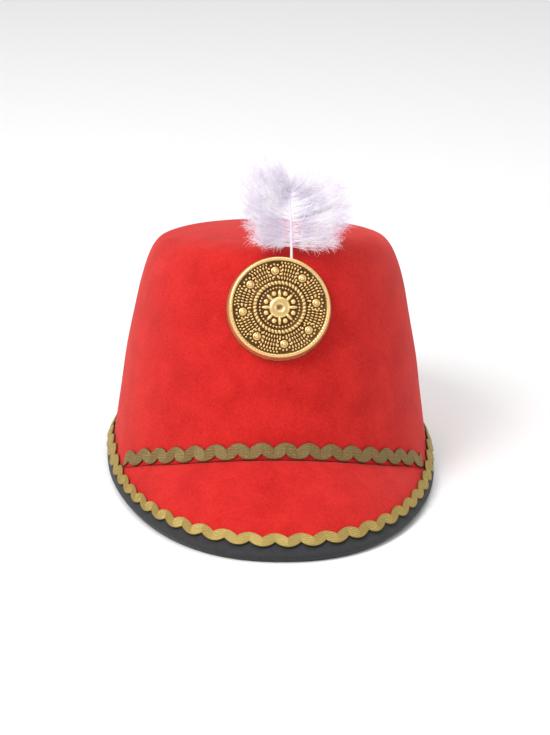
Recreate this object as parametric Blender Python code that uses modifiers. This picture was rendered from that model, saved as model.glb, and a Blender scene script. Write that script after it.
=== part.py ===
"""A majorette hat: a felt crown and peak, bound with black tape and trimmed with gold wavy braid, a gilt
medallion and a white down plume. It stands on its lower edge with the crown leaning back, front towards -Y.

Units are metres and +Z is up. The origin is on the floor under the middle of the hat. The crown's shape is worked
out in its own frame, whose Z is the crown's axis and whose Z = 0 is at the seam in front, and lean_back() turns
that frame into the resting one. An angle is measured round the crown from the front, positive towards +X.
"""

from math import cos, pi, radians, sin

import bmesh
import bpy
import numpy as np
from mathutils import Matrix, Vector

CLEARANCE = 0.0003

# Crown
FELT = 0.0025
CROWN_HALF_WIDTH = 0.0885
CROWN_HALF_DEPTH = 0.1018
CROWN_HEIGHT = 0.111
DOME_RISE = 0.0042
SHOULDER_SKEW = 0.0011
LEAN = radians(10.7)

# Seam of crown and peak: its height above the floor in front, and how far it drops towards the sides.
SEAM_HEIGHT = 0.0354
SEAM_DROP = 0.0175
SEAM_END_HEIGHT = 0.005

# Peak, and the flare that carries its ends on round the crown's lower edge
PEAK_REACH = 0.0545
PEAK_CAMBER = 0.0018
RIM_SIDE_FLARE = 0.0034
RIM_BACK_FLARE = 0.001
RIM_FULLNESS = 2.23
FLARE_START = radians(50)
FLARE_RISE = 0.010
FLARE_SHARE = 0.65

# Black tape folded over the edge: its reach up the outer and inner faces, and the depth that rests flat
TAPE = 0.001
TAPE_OUTSIDE = 0.008
TAPE_INSIDE = 0.005
TAPE_ROUNDING = 0.0007
TAPE_FLAT = 0.0004

# Gold wavy braid: its width between the notches, and the depth of a scallop
BRAID = 0.0012
BRAID_BAND = 0.006
SCALLOP = 0.0034
SCALLOP_ROUNDNESS = 0.75
CROWN_BRAID_PITCH = 0.0129
CROWN_BRAID_SHIFT = 0.0038
EDGE_BRAID_PITCH = 0.0133
EDGE_BRAID_SHIFT = -0.0035
EDGE_BRAID_LAP = 0.0032
BRAIDS_APART = 0.0006

# Medallion: its centre's height on the crown's axis, and how deep its back beds into the soft curve of the wall
MEDALLION_RADIUS = 0.0272
MEDALLION_HEIGHT = 0.080
MEDALLION_THICKNESS = 0.0085
MEDALLION_DRAFT = 0.0012
MEDALLION_BEDDING = 0.0035
RELIEF = 0.0013
STAR_POINTS = 8
RAY_START = 0.0050
RAY_END = 0.0098
RAY_HALF_WIDTH = 0.0012
BOSS_RING = 0.0079
BOSS_RADIUS = 0.0015
ROSETTE_RING = 0.0198
ROSETTE_RADIUS = 0.0035
ROSETTE_TURN = radians(7)
PEARL_RADIUS = 0.0018

# Plume: places across and up the wall are measured from the medallion's centre.
SHAFT_RADIUS = 0.0009
SHAFT_TIP_RADIUS = 0.0004
SHAFT_ACROSS = 0.0066
SHAFT_FOOT = 0.012
SHAFT_TOP = 0.066
PLUME_HEIGHT = 0.080
LOCK_WIDTH = 0.0062
LOCK_THICKNESS = 0.0030

# Short steps round and up the felt, over which its slope is measured
SLOPE_TURN = radians(1)
SLOPE_STEP = 0.0015

# Facets
COLUMNS = 64
SEAM_END_COLUMN = 14
PEAK_ROWS = 5
CROWN_BRAID_STEPS = 8
EDGE_BRAID_STEPS = 6
MEDALLION_SIDES = 32
PEARL_SIDES = 8
LOCK_SIDES = 6
FINE_STEPS = 721

# Height above the seam and girth, as shares of CROWN_HEIGHT and of the crown's half width and half depth
CROWN_SECTIONS = (
    # height, girth
    (0.400, 0.9305),
    (0.600, 0.8844),
    (0.780, 0.8342),
    (0.870, 0.8000),
    (0.930, 0.7660),
    (0.973, 0.7200),
    (0.997, 0.6500),
)

# Rise and girth, as shares of DOME_RISE and of the last section's girth
DOME_SECTIONS = (
    # rise, girth
    (0.50, 0.72),
    (0.88, 0.38),
)

# The medallion's turned face: radius and height, as shares of MEDALLION_RADIUS and of RELIEF
FACE_PROFILE = (
    # radius, height
    (0.055, 0.15),
    (0.100, 1.00),
    (0.185, 0.90),
    (0.225, 0.00),
    (0.365, 0.00),
    (0.390, 0.45),
    (0.415, 0.00),
    (0.450, 0.00),
    (0.490, 1.00),
    (0.530, 0.00),
    (0.905, 0.00),
    (0.935, 0.90),
    (0.975, 0.90),
    (1.000, 0.30),
)

# The plume's locks, each from its root on the shaft. Root, tip, reach, belly and forward are shares of
# PLUME_HEIGHT: the root's and the tip's height, how far to the side the tip and the bend lie, and how far the
# tip comes forward. Girth is a share of LOCK_WIDTH.
LOCKS = (
    # root, tip, reach, belly, forward, girth
    (0.620, 0.98, -0.20, -0.24, 0.015, 1.25),
    (0.560, 0.93, -0.32, -0.34, -0.055, 1.00),
    (0.600, 0.94, -0.07, -0.08, 0.085, 1.05),
    (0.500, 0.78, -0.37, -0.30, 0.035, 0.95),
    (0.640, 0.90, 0.08, 0.06, -0.045, 1.10),
    (0.610, 0.91, 0.22, 0.20, 0.025, 1.22),
    (0.550, 0.86, 0.34, 0.33, -0.035, 1.08),
    (0.520, 0.74, 0.38, 0.35, 0.065, 1.02),
    (0.470, 0.62, 0.35, 0.28, 0.005, 0.93),
    (0.460, 0.61, -0.28, -0.20, 0.055, 0.97),
    (0.440, 0.72, -0.14, -0.12, 0.115, 1.16),
    (0.450, 0.74, 0.15, 0.12, 0.100, 1.12),
    (0.400, 0.53, 0.30, 0.19, 0.065, 0.80),
    (0.395, 0.52, -0.23, -0.15, 0.080, 0.78),
    (0.385, 0.42, 0.24, 0.15, 0.095, 0.55),
    (0.380, 0.42, -0.19, -0.11, 0.090, 0.54),
)

# Place along a lock and half width there, as shares of its length and girth
LOCK_SECTIONS = (
    # place, width
    (0.10, 0.35),
    (0.35, 0.80),
    (0.62, 1.00),
    (0.85, 0.85),
)

FINISHES = {
    # name: colour, roughness, metallic
    "red_felt": ((0.55, 0.012, 0.010, 1), 0.95, 0.0),
    "black_tape": ((0.012, 0.012, 0.014, 1), 0.85, 0.0),
    "gold_braid": ((0.50, 0.31, 0.06, 1), 0.40, 0.8),
    "gilt_plastic": ((0.78, 0.53, 0.22, 1), 0.32, 0.7),
    "white_down": ((0.85, 0.82, 0.87, 1), 0.90, 0.0),
}

SEAM_END = 2 * pi * SEAM_END_COLUMN / COLUMNS
RIM_HALF_WIDTH = CROWN_HALF_WIDTH + RIM_SIDE_FLARE
LIFT = SEAM_HEIGHT - CROWN_HALF_DEPTH * sin(LEAN)
SHAFT_OUT = SHAFT_RADIUS + 1.5 * CLEARANCE
FOLD = CLEARANCE + TAPE
BRAID_REACH = BRAID_BAND + SCALLOP
EDGE_BRAID_TOP = TAPE_OUTSIDE - EDGE_BRAID_LAP + BRAID_REACH


def unit(vectors):
    return vectors / np.linalg.norm(vectors, axis=-1, keepdims=True)


def smooth(share):
    """0 to 1 with level ends."""
    share = np.clip(share, 0, 1)
    return share * share * (3 - 2 * share)


def lean_back(points):
    """Points of the crown's frame in the resting frame: turned about X so that the top goes back, and lifted."""
    x, y, z = np.moveaxis(np.asarray(points, float), -1, 0)
    return np.stack([x, y * cos(LEAN) + z * sin(LEAN), z * cos(LEAN) - y * sin(LEAN) + LIFT], axis=-1)


def section(girth, height, angle, grown=0.0):
    """A ring of the crown in its own frame, its shoulders a little higher at +X. Grown moves it out and up."""
    skew = SHOULDER_SKEW * smooth(height / CROWN_HEIGHT) * np.sin(angle) * girth
    return np.stack(
        [
            (CROWN_HALF_WIDTH * girth + grown) * np.sin(angle),
            -(CROWN_HALF_DEPTH * girth + grown) * np.cos(angle),
            height + skew + grown + 0 * angle,
        ],
        axis=-1,
    )


def wall(angle, height, grown=0.0):
    """The crown's wall at a height on its axis, straight between sections and carried on below the seam."""
    heights, girths = zip((0.0, 1.0), *CROWN_SECTIONS)
    share = height / CROWN_HEIGHT
    carried_on = 1 + share * (girths[1] - 1) / heights[1]
    return section(np.where(share < 0, carried_on, np.interp(share, heights, girths)), height, angle, grown)


def floor_level(angle):
    """The height on the crown's axis at which its wall, carried down, meets the floor."""
    return -(CROWN_HALF_DEPTH * np.cos(angle) * sin(LEAN) + LIFT) / cos(LEAN)


def foot(angle):
    """Where the crown's wall, carried down, meets the floor."""
    return lean_back(wall(angle, floor_level(angle)))


def rim_plan(angle):
    """The felt's lower edge in plan: a full superellipse round the peak, a plain ellipse behind."""
    front = CROWN_HALF_DEPTH * cos(LEAN) + PEAK_REACH
    last = foot(np.array(pi))[1]
    back = last + RIM_BACK_FLARE
    y = foot(angle)[..., 1] * back / last
    seam_end_y = foot(np.array(SEAM_END))[1] * back / last
    end_turn = np.arccos((-seam_end_y / front) ** (RIM_FULLNESS / 2))
    turn = np.minimum(np.abs(angle) / SEAM_END, 1) * end_turn
    y = np.where(np.abs(angle) < SEAM_END, -front * np.cos(turn) ** (2 / RIM_FULLNESS), y)
    power = np.where(y < 0, RIM_FULLNESS, 2.0)
    share = np.minimum(np.abs(y / np.where(y < 0, front, back)), 1)
    x = RIM_HALF_WIDTH * (1 - share**power) ** (1 / power)
    return np.stack([np.sign(np.sin(angle)) * x, y, 0 * x], axis=-1)


def seam_level(angle):
    """The seam's height on the crown's axis. Past its ends it runs on just above the floor."""
    return np.maximum(-SEAM_DROP * np.sin(angle) ** 2, floor_level(angle) + SEAM_END_HEIGHT)


def seam(angle):
    """The seam of crown and peak. Its ends go out with the flare of the lower edge."""
    share = FLARE_SHARE * smooth((np.abs(angle) - FLARE_START) / (SEAM_END - FLARE_START))
    flare = (rim_plan(angle) - foot(angle)) * (1, 1, 0)
    return lean_back(wall(angle, seam_level(angle))) + flare * share[..., None]


def rim(angle):
    """The felt's lower edge, as high above the floor as the tape folded under it is thick there."""
    plan = rim_plan(angle)
    rise = unit(seam(angle) - plan)[..., 2]
    level = np.sqrt(1 - rise**2)
    depth = np.maximum(FOLD * rise + (FELT - TAPE_ROUNDING) * level, (FELT + FOLD) * level)
    return plan + (depth - TAPE_FLAT)[..., None] * (0, 0, 1)


def felt_rows(angle):
    """Rows of points up the felt's outer face: the peak from its edge to the seam, then the wall above it."""
    angle = (np.asarray(angle, float) + pi) % (2 * pi) - pi
    edge, top = rim(angle), seam(angle)
    run = top - edge
    width = np.linalg.norm(run, axis=-1, keepdims=True)
    inward = run * (1, 1, 0)
    level = np.linalg.norm(inward, axis=-1, keepdims=True)
    normal = (level * (0, 0, 1) - inward / level * run[..., 2:]) / width
    full_width = np.linalg.norm(seam(np.array(0.0)) - rim(np.array(0.0)))
    camber = PEAK_CAMBER * (width / full_width) ** 2 * normal
    rows = [edge + run * share + camber * sin(pi * share) for share in np.linspace(0, 1, PEAK_ROWS)]
    above = lean_back(wall(angle, seam_level(angle) + FLARE_RISE))
    higher = lean_back(wall(angle, CROWN_SECTIONS[0][0] * CROWN_HEIGHT))
    return np.stack([*rows, above, higher])


def skirt_width(angle):
    """The felt's width from its edge to the seam."""
    return np.linalg.norm(np.diff(felt_rows(angle)[:PEAK_ROWS], axis=0), axis=-1).sum(axis=0)


def up_felt(angle, distance):
    """The point of the felt's outer face that lies this far up from its edge. Below 0 it runs straight on."""
    rows = felt_rows(angle)
    steps = np.diff(rows, axis=0)
    point, left = rows[0], distance + 0 * rows[0][..., 0]
    for index, step in enumerate(steps):
        length = np.linalg.norm(step, axis=-1)
        used = np.minimum(left, length) if index == 0 else np.clip(left, 0, length)
        point = point + step * (used / length)[..., None]
        left = left - used
    return point


def on_felt(angle, distance, height):
    """A point this far up the felt from its edge and this high over its outer face."""
    sideways = up_felt(angle + SLOPE_TURN, distance) - up_felt(angle - SLOPE_TURN, distance)
    upwards = up_felt(angle, distance + SLOPE_STEP) - up_felt(angle, distance - SLOPE_STEP)
    return up_felt(angle, distance) + unit(np.cross(sideways, upwards)) * np.asarray(height)[..., None]


def grid_faces(rows, columns, closed):
    """Quads between neighbouring rows of points, each row one ring when closed."""
    last = columns if closed else columns - 1
    corners = ((0, 0), (0, 1), (1, 1), (1, 0))
    return [
        tuple((row + down) * columns + (k + across) % columns for down, across in corners)
        for row in range(rows - 1)
        for k in range(last)
    ]


def new_object(name, points, faces, collection, triangles=False):
    """A mesh object. Points that no face uses are dropped, and its faces are turned to face outwards.

    Its quads are not quite flat, so a shape that is cut or joined is made of triangles first.
    """
    mesh = bpy.data.meshes.new(name)
    mesh.from_pydata([tuple(point) for point in points], [], faces)
    build = bmesh.new()
    build.from_mesh(mesh)
    bmesh.ops.delete(build, geom=[vert for vert in build.verts if not vert.link_faces], context="VERTS")
    bmesh.ops.recalc_face_normals(build, faces=build.faces)
    if triangles:
        bmesh.ops.triangulate(build, faces=build.faces)
    build.to_mesh(mesh)
    build.free()
    obj = bpy.data.objects.new(name, mesh)
    collection.objects.link(obj)
    return obj


def new_collection(name):
    collection = bpy.data.collections.new(name)
    bpy.context.scene.collection.children.link(collection)
    return collection


def finish(obj, material, smooth_angle=radians(40)):
    """Gives a piece its material and shades it smooth but for its sharp edges."""
    obj.data.materials.append(bpy.data.materials[material])
    obj.data.shade_smooth()
    obj.data.set_sharp_from_angle(angle=smooth_angle)


def hide_helper(obj):
    obj.hide_render = True
    obj.display_type = "WIRE"


def add_thickness(obj):
    """Felt's thickness, inwards from the outer face."""
    solid = obj.modifiers.new("felt", "SOLIDIFY")
    solid.thickness = FELT
    solid.offset = -1
    solid.use_even_offset = True


def add_boolean(obj, name, operation, operand):
    cut = obj.modifiers.new(name, "BOOLEAN")
    cut.operation = operation
    if isinstance(operand, bpy.types.Collection):
        cut.operand_type = "COLLECTION"
        cut.collection = operand
    else:
        cut.object = operand
    return cut


def make_materials():
    for name, (colour, roughness, metallic) in FINISHES.items():
        material = bpy.data.materials.new(name)
        material.use_nodes = True
        material.diffuse_color = colour
        shader = material.node_tree.nodes["Principled BSDF"]
        shader.inputs["Base Color"].default_value = colour
        shader.inputs["Roughness"].default_value = roughness
        shader.inputs["Metallic"].default_value = metallic


def column_angles():
    """The felt's columns, starting at the middle of the back."""
    return np.arange(COLUMNS) * 2 * pi / COLUMNS - pi


def crown_rings(angle, grown=0.0):
    """The crown's rings above its flare, from the first of its sections to the top of its dome."""
    rings = [wall(angle, height * CROWN_HEIGHT, grown) for height, _ in CROWN_SECTIONS]
    height, girth = CROWN_SECTIONS[-1]
    for rise, share in DOME_SECTIONS:
        rings.append(section(girth * share, height * CROWN_HEIGHT + rise * DOME_RISE, angle, grown))
    return [lean_back(ring) for ring in rings]


def crown_top(grown=0.0):
    return lean_back((0, 0, CROWN_SECTIONS[-1][0] * CROWN_HEIGHT + DOME_RISE + grown))


def make_crown(collection):
    """A hollow shell, open below. In front it ends at the seam; behind it runs on down to the lower edge."""
    angle = column_angles()
    rows = felt_rows(angle)
    rings = [rows[0], rows[PEAK_ROWS - 1], rows[PEAK_ROWS], *crown_rings(angle)]
    points = np.concatenate([*rings, [crown_top()]])
    front = range(COLUMNS // 2 - SEAM_END_COLUMN, COLUMNS // 2 + SEAM_END_COLUMN)
    faces = [face for index, face in enumerate(grid_faces(len(rings), COLUMNS, True)) if index not in front]
    last = (len(rings) - 1) * COLUMNS
    faces += [(last + k, last + (k + 1) % COLUMNS, len(points) - 1) for k in range(COLUMNS)]
    crown = new_object("crown", points, faces, collection)
    add_thickness(crown)
    finish(crown, "red_felt")


def make_peak(collection):
    """The peak between the seam and the lower edge, its inner edge and its ends clear of the crown."""
    columns = 2 * SEAM_END_COLUMN + 1
    angle = np.linspace(-SEAM_END, SEAM_END, columns)
    end_gap = 1.5 * CLEARANCE / CROWN_HALF_WIDTH
    angle[[0, -1]] += (end_gap, -end_gap)
    rows = felt_rows(angle)[:PEAK_ROWS]
    rows[-1] += unit(rows[-2] - rows[-1]) * 1.5 * CLEARANCE
    peak = new_object("peak", rows.reshape(-1, 3), grid_faces(PEAK_ROWS, columns, False), collection)
    add_thickness(peak)
    finish(peak, "red_felt")


def make_binding(collection, helpers):
    """Tape folded over the felt's edge, resting flat on the floor."""
    underside = -(FELT + CLEARANCE)
    tape_section = (
        # distance up the felt, height over its outer face
        (TAPE_OUTSIDE, CLEARANCE),
        (TAPE_OUTSIDE, FOLD),
        (0.0, FOLD),
        (-FOLD, -TAPE_ROUNDING),
        (-FOLD, TAPE_ROUNDING - FELT),
        (0.0, underside - TAPE),
        (TAPE_INSIDE, underside - TAPE),
        (TAPE_INSIDE, underside),
        (-CLEARANCE, underside),
        (-CLEARANCE, CLEARANCE),
    )
    angle = column_angles()
    strips = np.stack([on_felt(angle, distance, height) for distance, height in tape_section], axis=1)
    sides = len(tape_section)
    faces = [
        (k * sides + j, k * sides + (j + 1) % sides, after * sides + (j + 1) % sides, after * sides + j)
        for k in range(COLUMNS)
        for after in [(k + 1) % COLUMNS]
        for j in range(sides)
    ]
    binding = new_object("edge_binding", strips.reshape(-1, 3), faces, collection, triangles=True)
    bpy.ops.mesh.primitive_cube_add(size=1)
    floor = bpy.context.object
    floor.name = "floor_cutter"
    depth = 10 * TAPE
    floor.scale = (4 * RIM_HALF_WIDTH, 8 * CROWN_HALF_DEPTH, depth)
    floor.location = (0, 0, -depth / 2)
    move_to(floor, helpers)
    hide_helper(floor)
    add_boolean(binding, "rest_flat", "DIFFERENCE", floor)
    finish(binding, "black_tape")
    return strips


def scallop(place):
    """-1 to 1 and back with each whole step of place, its crests round and its notches sharp."""
    return 2 * np.abs(np.cos(pi * place)) ** SCALLOP_ROUNDNESS - 1


def braid_sections(angle, waves, middle, height_at):
    """Four corners at each angle of a band whose two edges are scalloped half a wave apart."""
    half, wave = BRAID_BAND / 2, SCALLOP / 2
    upper = middle + half + wave * scallop(waves)
    lower = middle - half - wave * scallop(waves + 0.5)
    corners = [(upper, 0.0), (upper, BRAID), (lower, BRAID), (lower, 0.0)]
    return np.stack([on_felt(angle, place, height_at(place) + thick) for place, thick in corners], axis=1)


def braid_faces(count, closed):
    """The band's four sides between each pair of sections and, on an open band, its two ends."""
    faces = [
        (k * 4 + j, k * 4 + (j + 1) % 4, (k + 1) % count * 4 + (j + 1) % 4, (k + 1) % count * 4 + j)
        for k in range(count if closed else count - 1)
        for j in range(4)
    ]
    return faces if closed else [*faces, (0, 1, 2, 3), tuple((count - 1) * 4 + j for j in range(4))]


def make_crown_braid(collection):
    """Wavy braid along the wall just above the seam, as far round as the edge braid leaves it room."""
    fine = np.linspace(-SEAM_END, SEAM_END, FINE_STEPS)
    room = skirt_width(fine) - EDGE_BRAID_TOP - BRAIDS_APART
    fine = fine[room > 0]
    length = np.concatenate([[0], np.cumsum(np.linalg.norm(np.diff(seam(fine), axis=0), axis=-1))])
    length -= np.interp(0, fine, length)
    waves_left, waves_right = length[[0, -1]] / CROWN_BRAID_PITCH
    steps = round((waves_right - waves_left) * CROWN_BRAID_STEPS)
    places = np.linspace(length[0], length[-1], steps + 1)
    angle = np.interp(places, length, fine)
    waves = (places - CROWN_BRAID_SHIFT) / CROWN_BRAID_PITCH
    middle = skirt_width(angle) + BRAID_REACH / 2
    sections = braid_sections(angle, waves, middle, lambda place: CLEARANCE + 0 * place)
    braid = new_object("crown_braid", sections.reshape(-1, 3), braid_faces(len(angle), False), collection)
    finish(braid, "gold_braid")


def make_edge_braid(collection):
    """Wavy braid right round the lower edge, its outer scallops over the tape and its inner ones on the felt."""
    middle = EDGE_BRAID_TOP - BRAID_REACH / 2
    fine = np.linspace(-pi, pi, FINE_STEPS)
    line = up_felt(fine, middle)
    length = np.concatenate([[0], np.cumsum(np.linalg.norm(np.diff(line, axis=0), axis=-1))])
    front = np.interp(0, fine, length)
    count = round(length[-1] / EDGE_BRAID_PITCH)
    places = np.arange(count * EDGE_BRAID_STEPS) / EDGE_BRAID_STEPS * length[-1] / count
    angle = np.interp(places, length, fine)
    waves = (places - front - EDGE_BRAID_SHIFT) / (length[-1] / count)

    def height_at(place):
        """A plane that clears the tape's upper edge and comes down to the felt at the inner scallops."""
        share = (EDGE_BRAID_TOP - place) / (EDGE_BRAID_TOP - TAPE_OUTSIDE)
        return CLEARANCE + share * FOLD

    sections = braid_sections(angle, waves, middle, height_at)
    braid = new_object("edge_braid", sections.reshape(-1, 3), braid_faces(len(angle), True), collection)
    finish(braid, "gold_braid")
    return sections


def medallion_frame():
    """The place on the front of the wall at the medallion's centre: X across, Y up the wall, Z out of it."""
    step = MEDALLION_RADIUS / 8
    centre, above, below = (
        Vector(lean_back(wall(np.array(0.0), MEDALLION_HEIGHT + shift))) for shift in (0.0, step, -step)
    )
    up = (above - below).normalized()
    out = Vector((1, 0, 0)).cross(up)
    return Matrix.Translation(centre) @ Matrix(((1, 0, 0), up, out)).transposed().to_4x4()


def cone_object(name, matrix, sides, base, top, height, collection):
    """A cone or prism along Z of the given matrix, its base at the matrix's origin."""
    build = bmesh.new()
    bmesh.ops.create_cone(build, cap_ends=True, segments=sides, radius1=base, radius2=top, depth=height)
    bmesh.ops.translate(build, vec=(0, 0, height / 2), verts=build.verts)
    mesh = bpy.data.meshes.new(name)
    build.to_mesh(mesh)
    build.free()
    obj = bpy.data.objects.new(name, mesh)
    obj.matrix_world = matrix
    collection.objects.link(obj)
    return obj


def dome_object(name, matrix, radius, collection):
    """A half-sunk ball."""
    build = bmesh.new()
    bmesh.ops.create_uvsphere(build, u_segments=PEARL_SIDES, v_segments=PEARL_SIDES // 2, radius=radius)
    mesh = bpy.data.meshes.new(name)
    build.to_mesh(mesh)
    build.free()
    obj = bpy.data.objects.new(name, mesh)
    obj.matrix_world = matrix
    collection.objects.link(obj)
    return obj


def make_relief(frame, collection):
    """The medallion's star, bosses and rosettes, each sunk a little into its face."""
    sink = Matrix.Translation((0, 0, -RELIEF / 2))
    for k in range(STAR_POINTS):
        turn = Matrix.Rotation(2 * pi * k / STAR_POINTS, 4, "Z")
        between = Matrix.Rotation(2 * pi * (k + 0.5) / STAR_POINTS, 4, "Z")
        aside = Matrix.Rotation(2 * pi * k / STAR_POINTS + ROSETTE_TURN, 4, "Z")
        outwards = Matrix.Rotation(pi / 2, 4, "Y") @ Matrix.Rotation(pi / 4, 4, "Z")
        ray = frame @ turn @ Matrix.Translation((RAY_START, 0, 0)) @ outwards
        cone_object(f"ray_{k}", ray, 4, RAY_HALF_WIDTH, RAY_HALF_WIDTH / 2, RAY_END - RAY_START, collection)
        boss = frame @ between @ Matrix.Translation((BOSS_RING, 0, 0))
        dome_object(f"boss_{k}", boss, BOSS_RADIUS, collection)
        rosette = frame @ aside @ Matrix.Translation((ROSETTE_RING, 0, 0))
        base, top = ROSETTE_RADIUS, 0.8 * ROSETTE_RADIUS
        cone_object(f"rosette_{k}", rosette @ sink, PEARL_SIDES, base, top, RELIEF, collection)
        pearl = rosette @ Matrix.Translation((0, 0, RELIEF / 2))
        dome_object(f"pearl_{k}", pearl, PEARL_RADIUS, collection)
    for obj in collection.objects:
        hide_helper(obj)


def make_crown_cutter(collection):
    """The crown's outer form as one solid, larger than the crown by the clearance."""
    angle = column_angles()
    grown = 1.2 * CLEARANCE
    lowest = MEDALLION_HEIGHT - 2 * MEDALLION_RADIUS
    rings = [lean_back(wall(angle, lowest, grown)), *crown_rings(angle, grown)]
    points = np.concatenate([*rings, [crown_top(grown)]])
    last = (len(rings) - 1) * COLUMNS
    faces = grid_faces(len(rings), COLUMNS, True)
    faces += [(last + k, last + (k + 1) % COLUMNS, len(points) - 1) for k in range(COLUMNS)]
    faces.append(tuple(range(COLUMNS)))
    cutter = new_object("crown_cutter", points, faces, collection, triangles=True)
    hide_helper(cutter)
    return cutter


def make_medallion(collection, helpers, relief):
    """A turned face and a drafted side, its relief joined on and its back shaped to the crown."""
    frame = medallion_frame()
    face = frame @ Matrix.Translation((0, 0, MEDALLION_THICKNESS - MEDALLION_BEDDING))
    make_relief(face, relief)
    profile = [(0, 0, FACE_PROFILE[0][1] * RELIEF)]
    profile += [(radius * MEDALLION_RADIUS, 0, height * RELIEF) for radius, height in FACE_PROFILE]
    profile += [(MEDALLION_RADIUS + MEDALLION_DRAFT, 0, -MEDALLION_THICKNESS), (0, 0, -MEDALLION_THICKNESS)]
    mesh = bpy.data.meshes.new("medallion")
    mesh.from_pydata(profile, [(k, k + 1) for k in range(len(profile) - 1)], [])
    medallion = bpy.data.objects.new("medallion", mesh)
    collection.objects.link(medallion)
    medallion.matrix_world = face
    turned = medallion.modifiers.new("turned", "SCREW")
    turned.steps = turned.render_steps = MEDALLION_SIDES
    turned.use_merge_vertices = True
    turned.merge_threshold = 0.00001
    turned.use_smooth_shade = True
    foot_place = (SHAFT_ACROSS, SHAFT_FOOT - 2 * CLEARANCE, SHAFT_OUT)
    groove_radius = SHAFT_RADIUS + 1.2 * CLEARANCE
    groove_frame = frame @ Matrix.Translation(foot_place) @ Matrix.Rotation(-pi / 2, 4, "X")
    groove = cone_object(
        "shaft_groove", groove_frame, PEARL_SIDES, groove_radius, groove_radius, MEDALLION_RADIUS, helpers
    )
    hide_helper(groove)
    add_boolean(medallion, "relief", "UNION", relief)
    add_boolean(medallion, "bedded", "DIFFERENCE", make_crown_cutter(helpers))
    add_boolean(medallion, "shaft_groove", "DIFFERENCE", groove)
    medallion.data.materials.append(bpy.data.materials["gilt_plastic"])


def make_lock(name, lock, frame, collection):
    """A flat leaf of down that bends from its root on the shaft to its tip, widest past its middle."""
    root, tip, reach, belly, forward, girth = lock
    start = np.array((SHAFT_ACROSS, root * PLUME_HEIGHT, SHAFT_OUT))
    end = start + np.array((reach, tip - root, forward)) * PLUME_HEIGHT
    bend = start + np.array((belly, (tip - root) / 2, forward / 2)) * PLUME_HEIGHT
    places = np.array([place for place, _ in LOCK_SECTIONS])[:, None]
    middle = start * (1 - places) ** 2 + bend * 2 * places * (1 - places) + end * places**2
    along = unit((bend - start) * (1 - places) + (end - bend) * places)
    across = unit(np.cross(along, (0, 0, 1)))
    turn = 2 * pi * np.arange(LOCK_SIDES) / LOCK_SIDES
    width = girth * LOCK_WIDTH * np.array([width for _, width in LOCK_SECTIONS])
    rings = (
        middle[:, None]
        + across[:, None] * np.cos(turn)[None, :, None] * width[:, None, None]
        + np.cross(across, along)[:, None] * np.sin(turn)[None, :, None] * LOCK_THICKNESS / 2
    )
    points = np.concatenate([rings.reshape(-1, 3), [start, end]])
    sides, last = LOCK_SIDES, (len(LOCK_SECTIONS) - 1) * LOCK_SIDES
    faces = grid_faces(len(LOCK_SECTIONS), sides, True)
    faces += [((k + 1) % sides, k, len(points) - 2) for k in range(sides)]
    faces += [(last + k, last + (k + 1) % sides, len(points) - 1) for k in range(sides)]
    obj = new_object(name, points, faces, collection, triangles=True)
    obj.matrix_world = frame
    hide_helper(obj)


def make_plume(collection, locks):
    """A shaft whose foot goes behind the medallion, with locks of down joined to it."""
    frame = medallion_frame()
    foot_place = Matrix.Translation((SHAFT_ACROSS, SHAFT_FOOT, SHAFT_OUT))
    upwards = frame @ foot_place @ Matrix.Rotation(-pi / 2, 4, "X")
    length = SHAFT_TOP - SHAFT_FOOT
    plume = cone_object("plume", upwards, 8, SHAFT_RADIUS, SHAFT_TIP_RADIUS, length, collection)
    for k, lock in enumerate(LOCKS):
        make_lock(f"lock_{k}", lock, frame, locks)
    add_boolean(plume, "locks", "UNION", locks)
    plume.data.materials.append(bpy.data.materials["white_down"])


def move_to(obj, collection):
    for old in obj.users_collection:
        old.objects.unlink(obj)
    collection.objects.link(obj)


def centre_hat(tape, braid, collections):
    """Hangs everything from one empty, set so that the origin is under the middle of the hat."""
    front, back = tape[..., 1].min(), braid[..., 1].max()
    middle = bpy.data.objects.new("hat_middle", None)
    bpy.context.scene.collection.objects.link(middle)
    for collection in collections:
        for obj in collection.objects:
            obj.parent = middle
    middle.location = (0, -(front + back) / 2, 0)


def main():
    for obj in list(bpy.data.objects):
        bpy.data.objects.remove(obj)
    hat, helpers, relief, locks = (
        new_collection(name) for name in ("majorette_hat", "cutters", "medallion_relief", "plume_locks")
    )
    make_materials()
    make_crown(hat)
    make_peak(hat)
    tape = make_binding(hat, helpers)
    make_crown_braid(hat)
    braid = make_edge_braid(hat)
    make_medallion(hat, helpers, relief)
    make_plume(hat, locks)
    centre_hat(tape, braid, (hat, helpers, relief, locks))


main()
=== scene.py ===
"""Looks of a red felt majorette hat: felt, black tape, wavy gold braid, a gilt medallion and a down plume.

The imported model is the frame. HatForm repeats the rules of the hat's felt surface, so that each dressed piece
lies where the solid that it replaces lies. Lengths are metres, +Z is up and the front of the hat faces -Y. An
angle is measured round the crown from the front, positive towards +X.
"""

import logging
from dataclasses import dataclass
from enum import Enum
from math import cos, pi, radians, sin

import bmesh
import bpy
import numpy as np
from mathutils import Matrix

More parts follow.
